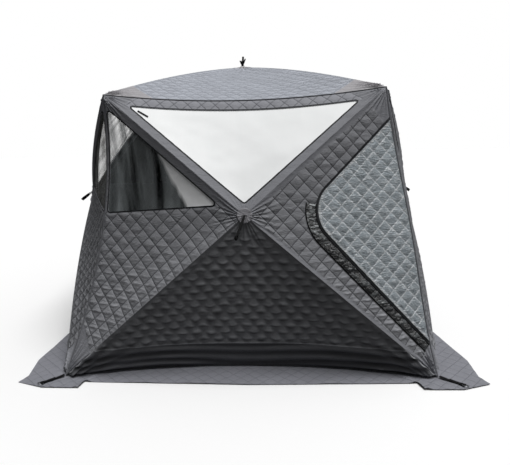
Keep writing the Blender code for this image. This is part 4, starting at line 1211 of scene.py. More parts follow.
def make_finishes():
    """Every material of the tent, by its short name."""
    k = colours()

    def oxford(key, name, *base, **settings):
        """Keeps a coated cloth under its short name."""
        FINISH[key] = coated_oxford(name, *base, **settings)

    # Charcoal polyester with a matt coating: mid grey where light falls square on it, near black underneath
    # Its pleats carry a painted highlight on their tops and painted shade under them
    oxford("wall", "quilted_oxford_polyester", k.wall, "#55565a", crush=1.0, wear=(0.15, 0.4),
           fade=(0.01, 0.05), pleats=(0.5, 0.16, 0.16, -0.1, -0.5), lit=0.12)
    # The lower gore's cloth is drawn darker than the wall's, and its plain hem band darker than the other
    # plain cloth: painted shade of the gore that faces the ground
    oxford("foot", "slack_oxford_polyester", "#76777a", crush=0.5, thread_share=0.0, groove=0.0)
    oxford("foot_plain", "unquilted_oxford_polyester", "#4a4b4e", quilted=False, roughness=0.45, gloss=0.45,
           crush=0.6)
    oxford("eave", "eave_oxford_polyester", "#94959b", "#6c6d72", crush=0.5)
    # The roof's paler polyester, faded by light and finely rippled
    oxford("roof", "roof_oxford_polyester", k.roof, "#9599a2", crush=1.7, contrast=0.16,
           pleats=(1.0, 0.4, 0.5, 3.0, 2.9))
    oxford("roof_plain", "roof_reinforcement_polyester", "#aeacaf", quilted=False, crush=0.9)
    # Silver-coated polyester: painted highlights on its creases in the stitching colour, pale thread and a
    # soft metal shine
    oxford("silver", "silver_coated_polyester", k.silver, k.thread_and_glints, roughness=0.42, metallic=0.15, crush=2.8,
           gloss=0.4, contrast=0.42, fade=(0.02, 0.09), glints=0.4)
    # Its pale bound edge, with white highlights painted on its creases
    oxford("bright", "silver_edge_binding", "#b4babe", "#ffffff", quilted=False, roughness=0.35,
           metallic=0.15, crush=2.6, gloss=0.5, contrast=0.5, glints=0.8)
    # The same coating inside, seen in shade
    oxford("lining", "silver_coated_lining", "#8d9498", k.thread_and_glints, roughness=0.42, metallic=0.1, crush=1.4,
           gloss=0.4, contrast=0.25, thread_share=0.6)
    oxford("plain", "plain_oxford_polyester", k.plain, quilted=False, crush=0.7)
    oxford("gathered", "gathered_patch_polyester", "#96959a", quilted=False, roughness=0.42, crush=0.8,
           gloss=0.45, contrast=0.2)
    oxford("tape", "binding_tape", "#252628", quilted=False, roughness=0.55, crush=0.4)
    oxford("skirt", "skirt_oxford_polyester", k.skirt, "#66676d", roughness=0.6, crush=0.9, contrast=0.1,
           thread_share=0.5)
    # The storm flap's black cloth with highlights painted on its creases; its head is a paler copy of it with
    # stronger painted highlights, standing for the light caught where it turns round the bend of the zip
    oxford("flap", "glossy_flap_polyester", "#141517", "#85898b", quilted=False, roughness=0.24, crush=2.8,
           gloss=1.0, contrast=0.3, glints=0.5, creases=11.0)
    oxford("flap_head", "creased_flap_polyester", "#2b2c2e", "#bcc1c3", quilted=False, roughness=0.24,
           crush=2.8, gloss=1.0, contrast=0.5, glints=0.95, creases=11.0)
    oxford("zip_tape", "woven_zip_tape", "#4b4c4f", quilted=False, roughness=0.6, crush=0.2)
    oxford("silicone", "silicone_glass_cloth", "#5d5e61", quilted=False, roughness=0.45, crush=0.25)
    oxford("tab", "hook_and_loop_band", "#1b1b1c", quilted=False, roughness=0.8, crush=0.2)
    # The top window's film is painted near white and near opaque, a painted reflection of the bright sky
    FINISH["sky_sheen_film"] = clear_film("hazy_pvc_film", "#feffff", "#f8fafa", (0.98, 0.99), ripples=0.05,
                                   roughness=0.6)
    # Clear and glare films: a pale painted tone for daylight on them over a dark one painted for the shade
    # inside
    FINISH["clear"] = clear_film("clear_pvc_film", "#a9a99f", "#20221f", (0.14, 0.55))
    FINISH["glare"] = clear_film("clear_pvc_film_in_light", "#bcc3c5", "#0d1110", (0.0, 0.62), glare=True)
    # Films of windows in shade are painted dark and near opaque, standing for the shade inside
    FINISH["shade_painted_film"] = clear_film("shaded_pvc_film", "#2c3130", "#0a0c0b", (0.93, 0.985))
    FINISH["piping"] = simple_finish("woven_seam_piping", "#3a3b3e", 0.6, grain=600.0, gloss=0.2)
    FINISH["corner_piping"] = simple_finish("woven_corner_piping", "#66676b", 0.6, grain=600.0, gloss=0.2)
    FINISH["webbing"] = simple_finish("polypropylene_webbing", k.webbing, 0.75, grain=500.0,
                                      bump_height=0.0008, gloss=0.12)
    FINISH["fibre"] = simple_finish("pultruded_glass_fibre", "#232325", 0.35, coat=0.3)
    FINISH["nylon"] = simple_finish("moulded_nylon", "#1b1b1c", 0.45)
    FINISH["steel"] = simple_finish("plated_steel", "#8f9193", 0.32, metallic=1.0)
    FINISH["dark_steel"] = simple_finish("black_plated_steel", "#2a2b2c", 0.38, metallic=0.7)
    FINISH["coil"] = simple_finish("nylon_zip_coil", "#1d1e20", 0.35)
    for name, node in frame["nodes"].items():
        kind = "fibre" if "_pole_" in name else "dark_steel" if name.startswith("zip_") else "nylon"
        node.data.materials.clear()
        node.data.materials.append(FINISH[kind])


# Operators, one for each group of pieces

def quilted(outer="wall", plain="plain"):
    """The finishes of quilted cloth: quilt, plain cloth, window tape and lining."""
    return [FINISH[name] for name in (outer, plain, "tape", "lining")]


def both_sides(name):
    """One finish above and below."""
    return [FINISH[name]] * 2


def flap_outline(face, step, start, finish):
    """The storm flap's two edges, along a share of the zip. It narrows towards the foot."""
    path = zip_path(face, step)
    run = path[int(len(path) * start):min(int(len(path) * finish), len(path) - 1)]
    near, far = (offset_path(run, -(ZIP_WIDTH / 2 + FLAP_INSET + width)) for width in (0.0, FLAP_WIDTH))
    shares = [start + (finish - start) * k / (len(far) - 1) for k in range(len(far))]
    return near, [a.lerp(b, 1 - 0.4 * max(0.0, share - 0.55)) for a, b, share in zip(near, far, shares)]


def tie_outline(face):
    """The door tie's outline beside the front right-hand seam, in the right wall's pattern."""
    finish, start = gore_lines(face, LEFT_HAND, 0, TIE_INSET + TIE_WIDTH / 2)[0][::-1]
    along = (finish - start).normalized() if (finish - start).y < 0 else (start - finish).normalized()
    top = (finish if finish.y > start.y else start) + along * TIE_DROP
    across = Vector((-along.y, along.x))
    neck, spread = top + along * TIE_NECK_LENGTH, top + along * (TIE_NECK_LENGTH + TIE_FLARE)
    tip = top + along * TIE_LENGTH
    taper = tip - along * TIE_POINT
    narrow, wide = across * TIE_NECK / 2, across * TIE_WIDTH / 2
    return [top + narrow, neck + narrow, spread + wide, taper + wide, tip,
            taper - wide, spread - wide, neck - narrow, top - narrow]


def port_outline(half):
    """A square with rounded corners on the roof's rear gore."""
    corners = [Vector((x * half, PORT_UP + y * half)) for x, y in ((-1, -1), (1, -1), (1, 1), (-1, 1))]
    return rounded(corners, [half * 0.2] * 4)


class SAUNA_OT_walls(bpy.types.Operator):
    """Quilted gores of the four walls"""
    bl_idname = "sauna.walls"
    bl_label = "Walls"

    def execute(self, context):
        faces = make_faces()
        c = cloth()
        band, side_band = WINDOW_POLE_INSET - c.tape, SIDE_WINDOW_POLE_INSET - c.tape
        front = faces["front"]
        top = Gore(front, UPPER, c.puff * 0.7, window_outline(front, UPPER), (band, band), (0.16, 0.17),
                   rows=0.001)
        left = Gore(front, LEFT_HAND, c.puff, window_outline(front, LEFT_HAND), (0, side_band), (0.24, 0.16),
                    CRINKLE, stretch=1.12)
        foot = Gore(front, LOWER, c.puff * 0.9, None, (0, 0), (0.13, 0.13), CRINKLE, FOOT_ROWS, HEM_BAND,
                    power=1.0)
        make_gore("front_top_cloth", "front_top_panel", top, c.fine_step, quilted("eave"))
        make_gore("front_left_cloth", "front_left_panel", left, c.fine_step, quilted())
        foot_finishes = quilted("foot", "foot_plain")
        make_gore("front_bottom_cloth", "front_bottom_panel", foot, c.fine_step, foot_finishes)
        tie = tie_outline(faces["right"])
        window_bands = {UPPER: (band, band), RIGHT_HAND: (side_band, 0), LEFT_HAND: (0, side_band)}
        for name in ("left", "right", "back"):
            for edge, part in WALL_GORES:
                window = window_outline(faces[name], edge) if edge in WINDOW_NODES.get(name, {}) else None
                bands = window_bands[edge] if window else (0, 0)
                under = tie if name == "right" and edge == LEFT_HAND else None
                gore = Gore(faces[name], edge, c.puff, window, bands, (0.16, 0.16), CRINKLE, under=under)
                if gore.low:
                    gore.rows, gore.hem, gore.power = FOOT_ROWS, HEM_BAND, 1.0
                finishes = foot_finishes if gore.low else quilted()
                make_gore(f"{name}_{part}_cloth", name + "_wall", gore, c.plain_step, finishes)
        for name in ("front", "right", "back", "left"):
            self.foot_seam(faces[name])
        return {"FINISHED"}

    def foot_seam(self, face):
        """The corded seam across the lower gore."""
        line = gore_lines(face, LOWER, 0, HEM_BAND)[0]
        poles = [crossing(line, (Vector((0, 0)), end)) for end in face.pole_ends(LOWER)]
        run = [poles[0].lerp(poles[1], 0.02 + 0.96 * k / 60) for k in range(61)]
        cord = piped(face.name + "_foot_seam", face.line(LOWER, run, 0.0034), 0.0022, FINISH["corner_piping"])
        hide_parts("front_bottom_panel" if face.name == "front" else face.name + "_wall")
        gore_blend(cord, face, LOWER)


class SAUNA_OT_roof(bpy.types.Operator):
    """Quilted gores of the roof and the chimney patch"""
    bl_idname = "sauna.roof"
    bl_label = "Roof"

    def execute(self, context):
        face = make_faces()["roof"]
        c = cloth()
        for edge, part in ROOF_GORES:
            gore = Gore(face, edge, c.puff * 0.5, None, (0, 0), (0.24, 0.24), 0.0012,
                        under=port_outline(PORT_SIZE / 2) if edge == UPPER else None)
            make_gore(f"roof_{part}_cloth", "roof_canopy", gore, c.plain_step, quilted("roof", "roof_plain"))
        for name, half, level, finishes in (
                ("patch", PORT_SIZE / 2, 0.0050, ("silicone", "tab", "tab")),
                ("flap", PORT_SIZE / 2 - PORT_HEM, 0.0095, ("roof", "tape", "lining"))):
            outline = port_outline(half)

            def height(flat):
                edge_in = from_path(flat, outline)
                sewn = 0.0016 * np.exp(-((edge_in - 0.009) / 0.004) ** 2)
                ripple = 0.0008 * folds(flat[:, 0] * 12, flat[:, 1] * 12, 41)
                return level - sewn + ripple * smooth(edge_in, 0.0, 0.03)

            def border(flat):
                return (from_path(flat, outline) < 0.018).astype(int)

            patch, flat, triangles = lay_piece("chimney_" + name, face, UPPER, outline, TRIM_STEP, height,
                                               PLAIN_CLOTH, [FINISH[key] for key in finishes], border)
            put(patch, "chimney_port")
            gore_blend(patch, face, UPPER)
            declare_cut(flat, triangles)
        return {"FINISHED"}


class SAUNA_OT_windows(bpy.types.Operator):
    """Film windows"""
    bl_idname = "sauna.windows"
    bl_label = "Windows"

    def execute(self, context):
        faces = make_faces()
        c = cloth()
        for name, windows in WINDOW_NODES.items():
            for edge, node in windows.items():
                self.film(faces[name], edge, node, c)
        ends = [Vector(p) for p in TIE_DASH]
        run = ends[1] - ends[0]
        side = Vector((-run.y, run.x)).normalized() * WINDOW_TIE_WIDTH / 2
        outline = [ends[0] + side, ends[0] - side, ends[1] - side, ends[1] + side]
        tab, flat, triangles = lay_piece("window_tie", faces["front"], UPPER, outline, TRIM_STEP, 0.003,
                                         trim().webbing, both_sides("tab"))
        gore_blend(tab, faces["front"], UPPER)
        declare_cut(flat, triangles)
        return {"FINISHED"}

    def film(self, face, edge, node, c):
        """One slightly slack window, sewn in behind its tape."""
        outline = shrunk(window_outline(face, edge), -FILM_OVERLAP)

        def height(flat):
            slack = 0.004 * folds(flat[:, 0] * 3, flat[:, 1] * 5, face.seed * 7 + edge)
            return -c.quilt * 0.55 + slack * smooth(from_path(flat, outline), 0.0, 0.05)

        # A window not listed gets the film painted dark for the shade inside
        film, flat, triangles = lay_piece(node + "_film", face, edge, outline, FILM_STEP, height, c.film,
                                          both_sides(WINDOW_FINISH.get(node, "shade_painted_film")))
        put(film, node)
        gore_blend(film, face, edge)
        declare_cut(flat, triangles)


class SAUNA_OT_door(bpy.types.Operator):
    """Right-hand gore of the front with the door leaf, zip, storm flap and door tie"""
    bl_idname = "sauna.door"
    bl_label = "Door"

    def execute(self, context):
        faces = make_faces()
        face = faces["front"]
        c = cloth()
        outer = gore_lines(face, RIGHT_HAND, 0, SETBACK)[0]
        path = zip_path(face, c.fine_step)
        corners = gore_outline(face, RIGHT_HAND, SETBACK)
        round_door = trimmed(offset_path(path, -ZIP_WIDTH / 2), outer)
        near, far = flap_outline(face, c.fine_step * 2, FLAP_HEAD_START, 1.0)
        gore = Gore(face, RIGHT_HAND, c.puff, None, (0.03, 0.022), (0.17, 0.15), 0.003,
                    under=near + far[::-1])
        make_gore("front_right_cloth", "front_right_panel", gore, c.fine_step, quilted(),
                  [corners[0], *round_door, *corners[1:]])
        self.leaf(face, path, outer)
        self.zip(face, path, outer)
        self.flap(face)
        self.tie(faces["right"])
        return {"FINISHED"}

    def leaf(self, face, path, outer):
        """The door leaf, with a bright bound edge along the zip."""
        c = cloth()
        zip_side = trimmed(offset_path(path, ZIP_WIDTH / 2), outer)
        binding = offset_path(path, ZIP_WIDTH / 2 + DOOR_BINDING)[2:-2]
        flat, triangles = triangulate(zip_side, [], [binding], c.fine_step)
        from_zip = from_path(flat, zip_side, closed=False)
        from_seam = from_path(flat, [zip_side[0], zip_side[-1]], closed=False)
        calm = smooth(from_zip, 0.010, 0.03) * smooth(from_seam, 0.004, 0.03)
        puff = quilt_puff(flat, 0.2)
        u, v = flat[:, 0], flat[:, 1]
        height = c.puff * 1.15 * puff * calm
        height += 0.0030 * folds(u * 17, v * 34, 77, 2) * calm * puff
        height += (0.003 + 0.002 * lattice_noise(u * 60, v * 60, 5)) * (1 - smooth(from_zip, 0.009, 0.016))
        above = face.surface(RIGHT_HAND, flat, height)
        below = face.surface(RIGHT_HAND, flat, height * BELOW_SHARE - c.quilt)
        zones = (from_path(flat[triangles].mean(axis=1), zip_side, closed=False) < DOOR_BINDING).astype(int)
        door = cloth_object("door_leaf", flat, triangles, above, below, zones,
                            [FINISH[name] for name in ("silver", "bright", "lining")])
        put(door, "door_panel")
        foot = face.seam_foot(RIGHT_HAND)
        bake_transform(door)
        declare_cut(flat, triangles)

    def zip(self, face, path, outer):
        """The zip's tapes and its coil of teeth."""
        one, other = (trimmed(offset_path(path, side * ZIP_WIDTH / 2), outer) for side in (-1, 1))
        middle = -cloth().quilt * 0.3
        tape, flat, triangles = lay_piece("zip_tapes", face, RIGHT_HAND, one + other[::-1], TRIM_STEP, middle,
                                          ZIP_TAPE, both_sides("zip_tape"))
        put(tape, "door_zip", "front_right_gore")
        declare_cut(flat, triangles)
        pitch = trim().tooth_pitch
        spots = divided(trimmed(path, outer), pitch, closed=False)[3:-3]
        low, high = (face.line(RIGHT_HAND, spots, middle + rise) for rise in (0.0, 0.01))
        bpy.ops.object.select_all(action="DESELECT")
        bpy.ops.mesh.primitive_cube_add(size=1.0)
        tooth = bpy.context.active_object
        tooth.scale = (pitch * TOOTH[0], *TOOTH[1:])
        bpy.ops.object.transform_apply(scale=True)
        tooth_points = np.array([v.co for v in tooth.data.vertices])
        tooth_faces = [list(f.vertices) for f in tooth.data.polygons]
        points, polygons = [], []
        for k in range(len(spots) - 1):
            along = low[k + 1] - low[k]
            along /= np.linalg.norm(along)
            out = high[k] - low[k]
            out /= np.linalg.norm(out)
            across = np.cross(out, along)
            slant = across * (TOOTH_LIFT if k % 2 else -TOOTH_LIFT)
            polygons += [[k * len(tooth_points) + i for i in f] for f in tooth_faces]
            points.append(tooth_points @ np.stack([along, across, out]) + low[k] + out * TOOTH_LIFT + slant)
        tooth.data.clear_geometry()
        tooth.data.from_pydata(np.vstack(points), [], polygons)
        put(finish_piece(tooth, "zip_teeth", FINISH["coil"]), "door_zip", "front_right_gore")

    def flap(self, face):
        """The glossy storm flap beside the lower run of the zip, crumpled, with a cord in both edges. Its
        head, gathered round the bend of the zip, is sewn to the wall cloth."""
        for name, node, start, finish, seed, look in (
                ("storm_flap", "storm_flap", 0.5, 1.0, 31, "flap"),
                ("flap_head", "front_right_panel", FLAP_HEAD_START, 0.51, 35, "flap_head")):
            near, far = flap_outline(face, TRIM_STEP, start, finish)
            outline = near + far[::-1]

            def height(flat):
                along, across = flat[:, 0] - flat[:, 1], flat[:, 0] + flat[:, 1]
                wave = lattice_noise(along * 19, across * 9, seed)
                wave += 0.7 * lattice_noise(along * 45, across * 17, seed + 1)
                return 0.0058 + (0.006 + 0.0065 * wave) * smooth(from_path(flat, outline), 0.0, 0.02)

            piece, flat, triangles = lay_piece(name + "_cloth", face, RIGHT_HAND, outline, 0.0055, height,
                                               PLAIN_CLOTH, [FINISH[look], FINISH["flap"]])
            put(piece, node, "front_right_gore")
            declare_cut(flat, triangles)
            for side, line in (("near", near), ("far", far)):
                path = face.line(RIGHT_HAND, line, 0.0056)
                cord = piped(f"{name}_{side}_piping", path, 0.0030, FINISH["webbing"])
                put(cord, node, "front_right_gore")

    def tie(self, face):
        """The webbing tie that holds the rolled door, hanging from the top of the corner."""
        outline = tie_outline(face)

        def height(flat):
            down = np.linalg.norm(flat - np.array(outline[0]), axis=1)
            wave = 0.002 * lattice_noise(down * 22, flat[:, 0] * 3, 8)
            return 0.0060 + 0.012 * smooth(down, 0.01, 0.12) + wave

        piece, flat, triangles = lay_piece("door_tie_strap", face, LEFT_HAND, outline, TRIM_STEP, height,
                                           PLAIN_CLOTH, both_sides("tab"))
        put(piece, "door_tie", "door_tie")
        declare_cut(flat, triangles)


class SAUNA_OT_piping(bpy.types.Operator):
    """Piping over the seams between the faces"""
    bl_idname = "sauna.piping"
    bl_label = "Seam piping"

    def execute(self, context):
        steps = 40
        for k, (a, b) in enumerate(zip(CORNERS, CORNERS[1:] + CORNERS[:1])):
            runs = {"eave": ((*a, TOP), (*b, TOP)), "hem": ((*a, BOTTOM), (*b, BOTTOM)),
                    "corner": ((*a, BOTTOM), (*a, TOP))}
            for kind, (start, finish) in runs.items():
                path = [seam_point(start, finish, n / steps) for n in range(steps + 1)]
                look = FINISH["corner_piping" if kind == "corner" else "piping"]
                piece = piped(f"{kind}_piping_{k + 1}", path, trim().piping, look)
                put(piece, "seam_bindings", "shell")
        return {"FINISHED"}


class SAUNA_OT_skirt(bpy.types.Operator):
    """Ground skirt"""
    bl_idname = "sauna.skirt"
    bl_label = "Skirt"

    def execute(self, context):
        outer = []
        for side, end in CORNERS:
            turned = [Vector((x * side, y * end)) for x, y in SKIRT_CORNER]
            outer += turned if side == end else turned[::-1]
            if side == end:
                outer.append(Vector((0.0, end * SKIRT_MIDDLE)))
        steps = 24
        ring = [(*place, BOTTOM) for place in CORNERS]
        sides = list(zip(ring, ring[1:] + ring[:1]))
        hem = [seam_point(a, b, n / steps).xy for a, b in sides for n in range(steps)]
        inner = shrunk(hem, 0.006)
        flat, triangles = triangulate(outer, [inner], [], SKIRT_STEP)
        u, v = flat[:, 0], flat[:, 1]
        swell = smooth(from_path(flat, inner), 0.01, 0.12)
        height = 0.0032 + 0.0065 * swell * (1 + folds(u * 5.5, v * 5.5, 61)) / 2
        half = shape().base_width / 2
        for side in (LEFT, RIGHT):
            for end in (FRONT, BACK):
                spot = (side * half, end * half)
                away = np.linalg.norm(flat - np.array(spot), axis=1)
                height += 0.008 * fan_folds(flat, spot, SKIRT_PLEATS, 0.2, 62) * smooth(away, 0.03, 0.1)
        for side in (LEFT, RIGHT):
            tuck = (u * side - 1.055) + (v + 1.30) * 0.5
            height += np.where(v < -half, SKIRT_TUCK * np.exp(-(tuck / 0.022) ** 2), 0.0)
        above = np.column_stack([flat, height])
        below = np.column_stack([flat, np.maximum(height - SKIRT_CLOTH, 0.0002)])
        skirt = cloth_object("skirt_cloth", flat, triangles, above, below, None, both_sides("skirt"))
        put(skirt, "ground_skirt", "shell")
        declare_cut(flat, triangles)
        return {"FINISHED"}


class SAUNA_OT_hubs(bpy.types.Operator):
    """Gathered patches over the hubs, and the poles of the three plain walls and the roof"""
    bl_idname = "sauna.hubs"
    bl_label = "Hubs and poles"

    def execute(self, context):
        for face in make_faces().values():
            self.patch(face)
            if face.name != "front":
                self.poles(face)
        return {"FINISHED"}

    def patch(self, face):
        """The plain cloth gathered over the hub's cap, with a lobe down each pole except on the front. It is
        smooth above the cap, where the wall is taut."""
        cap = (pivot(face.name + "_pull_strap_swing") - face.middle).dot(face.out) - CAP_BELOW_BAR
        bearings = [math.atan2(p.y, p.x) for p in face.flat]
        outline = []
        for k in range(160):
            turn = 2 * math.pi * k / 160
            lobe = max(math.cos(turn - b) for b in bearings)
            reach = FRONT_PATCH if face.name == "front" else WALL_PATCH + PATCH_LOBE * max(lobe, 0) ** 12
            outline.append(Vector((math.cos(turn), math.sin(turn))) * reach)
        flat, triangles = triangulate(outline, [], [], PATCH_STEP)
        away = np.linalg.norm(flat, axis=1)
        bearing = np.arctan2(flat[:, 1], flat[:, 0])
        taut = np.exp(-((bearing - math.pi / 2) / 0.75) ** 4)
        ring = bearing * PATCH_PLEATS + 2.2 * lattice_noise(bearing * 3, away * 30, face.seed)
        pleat = (1 - np.abs(np.cos(ring / 2))) * (1 - 0.95 * taut)
        pleat *= 0.6 + 0.4 * lattice_noise(bearing * 2.5, away * 9, face.seed + 7)
        flat_top = face.plane(flat, cap + 0.0012 + 0.0030 * pleat * smooth(away, 0.012, 0.03))
        rise = 0.005 if face.name == "roof" else 0.013
        edge_in = smooth(from_path(flat, outline), 0.0, 0.014)
        skirted = face.surface_round_hub(flat, 0.0024 + (0.002 + rise * pleat) * edge_in)
        share = smooth(away, 0.042, 0.060)[:, None]
        above = flat_top * (1 - share) + skirted * share
        below = above - np.array(face.out) * PATCH_CLOTH
        # Painted highlight on the tops of the patch's pleats and painted shade between them
        pleat_light_and_shade = np.clip(pleat - 0.35, -0.5, 0.5) * smooth(away, 0.02, 0.04) * (1 - 0.8 * taut)
        piece = cloth_object(face.name + "_hub_patch", flat, triangles, above, below, None,
                             both_sides("roof_plain" if face.name == "roof" else "gathered"), relief=pleat_light_and_shade)
        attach(piece, face.hub_body)
        declare_cut(flat, triangles)

    def poles(self, face):
        """Poles that bend with the cloth over them. A station on the eye's shank, ferrules, rod and moulded
        tip is a distance from the hub and a radius."""
        rod = trim().rod
        names = ROOF_CORNERS if face.name == "roof" else WALL_CORNERS
        for number, corner_name in enumerate(names):
            last = face.flat[number].length - POLE_TIP_STOP
            stations = [(0.023, POLE_EYE), (0.054, POLE_EYE), (0.056, FERRULE), (0.114, FERRULE)]
            stations.append((0.116, rod))
            stations += [(0.116 + (last - 0.152) * k / 12, rod) for k in range(1, 12)]
            stations += [(last - 0.036, rod), (last - 0.034, FERRULE), (last - 0.002, FERRULE)]
            stations.append((last, POLE_TIP))
            path = [face.over_pole(number, distance, POLE_DEPTH) for distance, _ in stations]
            node = f"{face.name}_pole_{corner_name}"
            piece = piped(node + "_rod", path, 1.0, FINISH["fibre"], [radius for _, radius in stations])
            put(piece, node)
            face.corner_place(number).lerp(face.middle, 0.09)
            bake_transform(piece)


class SAUNA_OT_straps(bpy.types.Operator):
    """Pull straps on the hubs, and peg straps with rings at the feet"""
    bl_idname = "sauna.straps"
    bl_label = "Straps"

    def execute(self, context):
        faces = make_faces()
        for name, share in (("left", 1.0), ("right", 0.5), ("back", 1.0)):
            self.wall_strap(faces[name], share)
        self.front_strap(faces["front"])
        self.roof_tuft(faces["roof"])
        for side, side_name in ((LEFT, "left"), (RIGHT, "right")):
            for end, end_name in ((FRONT, "front"), (BACK, "back")):
                self.peg_strap(f"peg_loop_{end_name}_{side_name}", side, end)
        return {"FINISHED"}

    def pull_strap(self, name, face, path, across, width, thickness=None, twists=None):
        """A strap that swings with its hub's pull strap."""
        piece = strap(name, path, across, width, thickness or trim().webbing, twists)
        put(piece, face.name + "_pull_strap", face.name + "_pull_strap")

    def wall_strap(self, face, share):
        """A loop that droops from its bar."""
        t = trim()
        length = t.strap_length * share
        down = (face.out - face.up).normalized()
        aside = (face.out + face.up).normalized()
        bar = pivot(face.name + "_pull_strap_swing")
        path = loop_path(bar, down, aside, length, 0.003)
        twists = [1.1 * min(1.0, max(0.0, (p - bar).dot(down) / length)) for p in path]
        self.pull_strap(face.name + "_strap", face, path, face.right, t.strap_width, twists=twists)

    def front_strap(self, face):
        """A narrow strap with a knot in its end."""
        t = trim()
        bar = pivot("front_pull_strap_swing")
        down = (face.out * 0.72 - face.up - face.right * 0.40).normalized()
        aside = (face.out + face.up * 0.72).normalized()
        length = t.strap_length * 1.4
        path = loop_path(bar, down, aside, length, 0.002)
        self.pull_strap("front_strap", face, path, face.right, FRONT_STRAP)
        end = bar + down * (length - 0.004)
        for k, turn in enumerate((20, 75, 140)):
            lean = Matrix.Rotation(math.radians(turn), 3, down)
            side = lean @ aside
            ring = []
            for n in range(15):
                angle = 2 * math.pi * n / 14
                along = down * (KNOT_RADIUS * math.cos(angle) + KNOT_SPREAD * k)
                ring.append(end + along + side * KNOT_RADIUS * math.sin(angle))
            self.pull_strap(f"front_knot_{k + 1}", face, ring, lean @ face.right, FRONT_STRAP,
                            t.webbing * 1.5)

    def roof_tuft(self, face):
        """Webbing bunched on its bar: one loop stands up and two shorter ones lean out."""
        for name, lean, length, width, spread, raised in (("tall", 4, 0.68, 0.018, 0.008, 0.0),
                                                          ("left", -24, 0.38, 0.020, 0.004, 0.004),
                                                          ("right", 22, 0.56, 0.012, 0.004, 0.0)):
            angle = math.radians(lean)
            up = (face.out * math.cos(angle) + face.right * math.sin(angle)).normalized()
            across = (face.right + face.up * 0.5).normalized()
            bar = pivot("roof_pull_strap_swing") + face.out * raised
            path = loop_path(bar, up, face.up, trim().strap_length * length, spread)
            self.pull_strap("roof_strap_" + name, face, path, across, width)

    def peg_strap(self, node, side, end):
        """Webbing that runs out over the skirt, round a steel ring and back, sewn to itself."""
        t = trim()
        outward, rise = Vector((side, end, 0)).normalized(), Vector((0, 0, 1))
        foot = Vector((side, end, 0)) * (shape().base_width / 2) + outward * PEG_START
        low = PEG_LOW
        stations = [(0, low + 0.004), (0.03, low + 0.002), (0.06, low), (0.10, low), (0.13, low),
                    (0.152, low + 0.0002)]
        stations += [(0.156 + 0.0035 * math.sin(a), low + 0.004 - 0.0038 * math.cos(a))
                     for a in (0.6, 1.3, 2.0, 2.6)]
        stations += [(0.150, low + 0.0075), (0.12, low + 0.004), (0.085, PEG_HIGH), (0.06, PEG_HIGH + 0.001)]
        path = [foot + outward * x + rise * z for x, z in stations]
        piece = strap(node + "_strap", path, rise.cross(outward), t.peg_width, t.webbing)
        ring = foot + outward * (t.peg_length + t.ring * 0.55) + rise * (low + 0.004)
        bpy.ops.object.select_all(action="DESELECT")
        bpy.ops.mesh.primitive_torus_add(major_radius=t.ring, minor_radius=t.ring_wire, major_segments=40,
                                         minor_segments=10, location=ring, rotation=(0.10 * end, 0.14, 0))
        loop = finish_piece(bpy.context.active_object, node + "_ring", FINISH["steel"])
        put(piece, node, "shell")
        put(loop, node, "shell")


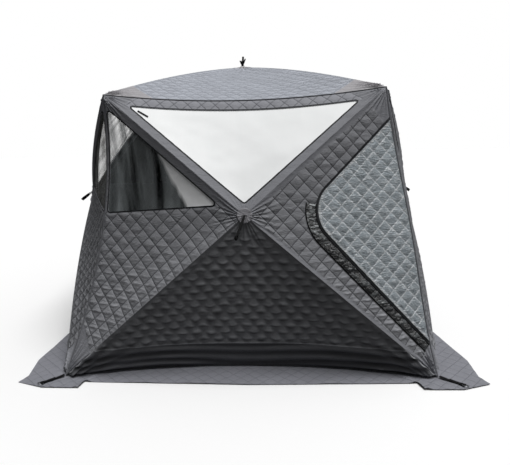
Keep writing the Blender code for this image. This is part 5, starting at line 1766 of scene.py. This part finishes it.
class SAUNA_OT_stage(bpy.types.Operator):
    """Camera, daylight and floor"""
    bl_idname = "sauna.stage"
    bl_label = "Stage"

    def execute(self, context):
        self.camera(context.scene)
        bpy.ops.mesh.primitive_plane_add(size=60.0, location=(0, 0, -0.0005))
        floor = context.active_object
        floor.name = "floor"
        floor.data.materials.append(pale_floor())
        self.daylight(context.scene)
        context.scene.view_settings.view_transform = "Standard"
        return {"FINISHED"}

    def camera(self, scene):
        """The photo's camera, fitted to the corners, hubs, hem and skirt."""
        focal, shift_right, shift_down = 500.0, 36.7, 66.6
        data = bpy.data.cameras.new("photo_camera")
        data.sensor_width = 36.0
        data.lens = focal * data.sensor_width / PHOTO_WIDTH
        data.shift_x = shift_right / PHOTO_WIDTH
        data.shift_y = -shift_down / PHOTO_WIDTH
        data.clip_end = 100.0
        camera = bpy.data.objects.new("photo_camera", data)
        scene.collection.objects.link(camera)
        yaw, pitch, roll, turn = 0.029, 0.071, 0.024, 0.029
        tent_turn = Matrix.Rotation(turn, 3, "Z")
        stand = tent_turn @ Vector((-0.103, -4.337, 1.60))
        right = Vector((math.cos(yaw), math.sin(yaw), 0))
        ahead = Vector((-math.sin(yaw), math.cos(yaw), 0))
        forward = ahead * math.cos(pitch) - Vector((0, 0, math.sin(pitch)))
        up = right.cross(forward)
        level = tent_turn @ Matrix((right, up, -forward)).transposed() @ Matrix.Rotation(-roll, 3, "Z")
        camera.matrix_world = Matrix.Translation(stand) @ level.to_4x4()
        scene.camera = camera

    def daylight(self, scene):
        """A high soft light and a sky that is brighter to the right, white where the camera sees it."""
        scene.world = bpy.data.worlds.new("daylight")
        scene.world.use_nodes = True
        tree = scene.world.node_tree
        split = add_node(tree, "SeparateXYZ", {0: add_node(tree, "TexCoord")})
        sky = ranged(tree, (split, 2), 0.0, 1.0, 0.06, 0.50)
        dome = calc(tree, "MULTIPLY", sky, ranged(tree, split, -0.9, 0.9, 0.08, 1.5))
        shader = tree.nodes["Background"]
        feed(tree, shader, {"Strength": mixed_value(tree, seen(tree), dome, 1.0)})
        shader.inputs["Color"].default_value = (1.0, 1.0, 1.0, 1.0)
        sun = bpy.data.lights.new("high_soft_light", "SUN")
        sun.energy = 2.45
        sun.angle = math.radians(35)
        lamp = bpy.data.objects.new("high_soft_light", sun)
        lamp.rotation_euler = Vector((0.20, -0.27, 0.942)).to_track_quat("Z", "Y").to_euler()
        scene.collection.objects.link(lamp)


def pale_floor():
    """Matt floor that shows white to the camera, keeps the tent's shadow, and sends little light back up."""
    made, tree, shader = new_material("matt_pale_floor", {"Roughness": 0.95, "Specular IOR Level": 0.0})
    feed(tree, shader, {"Base Color": mixed(tree, seen(tree), linear("#5c5c5c"), linear("#ffffff"))})
    return made


OPERATORS = (SAUNA_OT_stage, SAUNA_OT_piping, SAUNA_OT_walls, SAUNA_OT_roof, SAUNA_OT_windows, SAUNA_OT_door,
             SAUNA_OT_skirt, SAUNA_OT_hubs, SAUNA_OT_straps)
GROUPS = (("sauna_shape", TentShape), ("sauna_cloth", TentCloth), ("sauna_trim", TentTrim),
          ("sauna_colours", TentColours))


class SAUNA_PT_panel(bpy.types.Panel):
    """Buttons for each group of pieces"""
    bl_idname = "SAUNA_PT_panel"
    bl_label = "Sauna Tent"
    bl_space_type = "VIEW_3D"
    bl_region_type = "UI"
    bl_category = "Sauna Tent"

    def draw(self, context):
        for name, group in GROUPS:
            box = self.layout.box()
            for key in group.__annotations__:
                box.prop(getattr(context.scene, name), key)
        for operator in OPERATORS:
            self.layout.operator(operator.bl_idname)


def register():
    for name, group in GROUPS:
        bpy.utils.register_class(group)
        setattr(bpy.types.Scene, name, bpy.props.PointerProperty(type=group))
    for kind in (*OPERATORS, SAUNA_PT_panel):
        bpy.utils.register_class(kind)


def unregister():
    for kind in reversed((*OPERATORS, SAUNA_PT_panel)):
        bpy.utils.unregister_class(kind)
    for name, group in reversed(GROUPS):
        delattr(bpy.types.Scene, name)
        bpy.utils.unregister_class(group)


def main():
    """Dress the frame and set the stage."""
    register()
    make_finishes()
    for make in (bpy.ops.sauna.stage, bpy.ops.sauna.piping, bpy.ops.sauna.walls, bpy.ops.sauna.roof,
                 bpy.ops.sauna.windows, bpy.ops.sauna.door, bpy.ops.sauna.skirt, bpy.ops.sauna.hubs,
                 bpy.ops.sauna.straps):
        make()


if __name__ == "__main__":
    main()
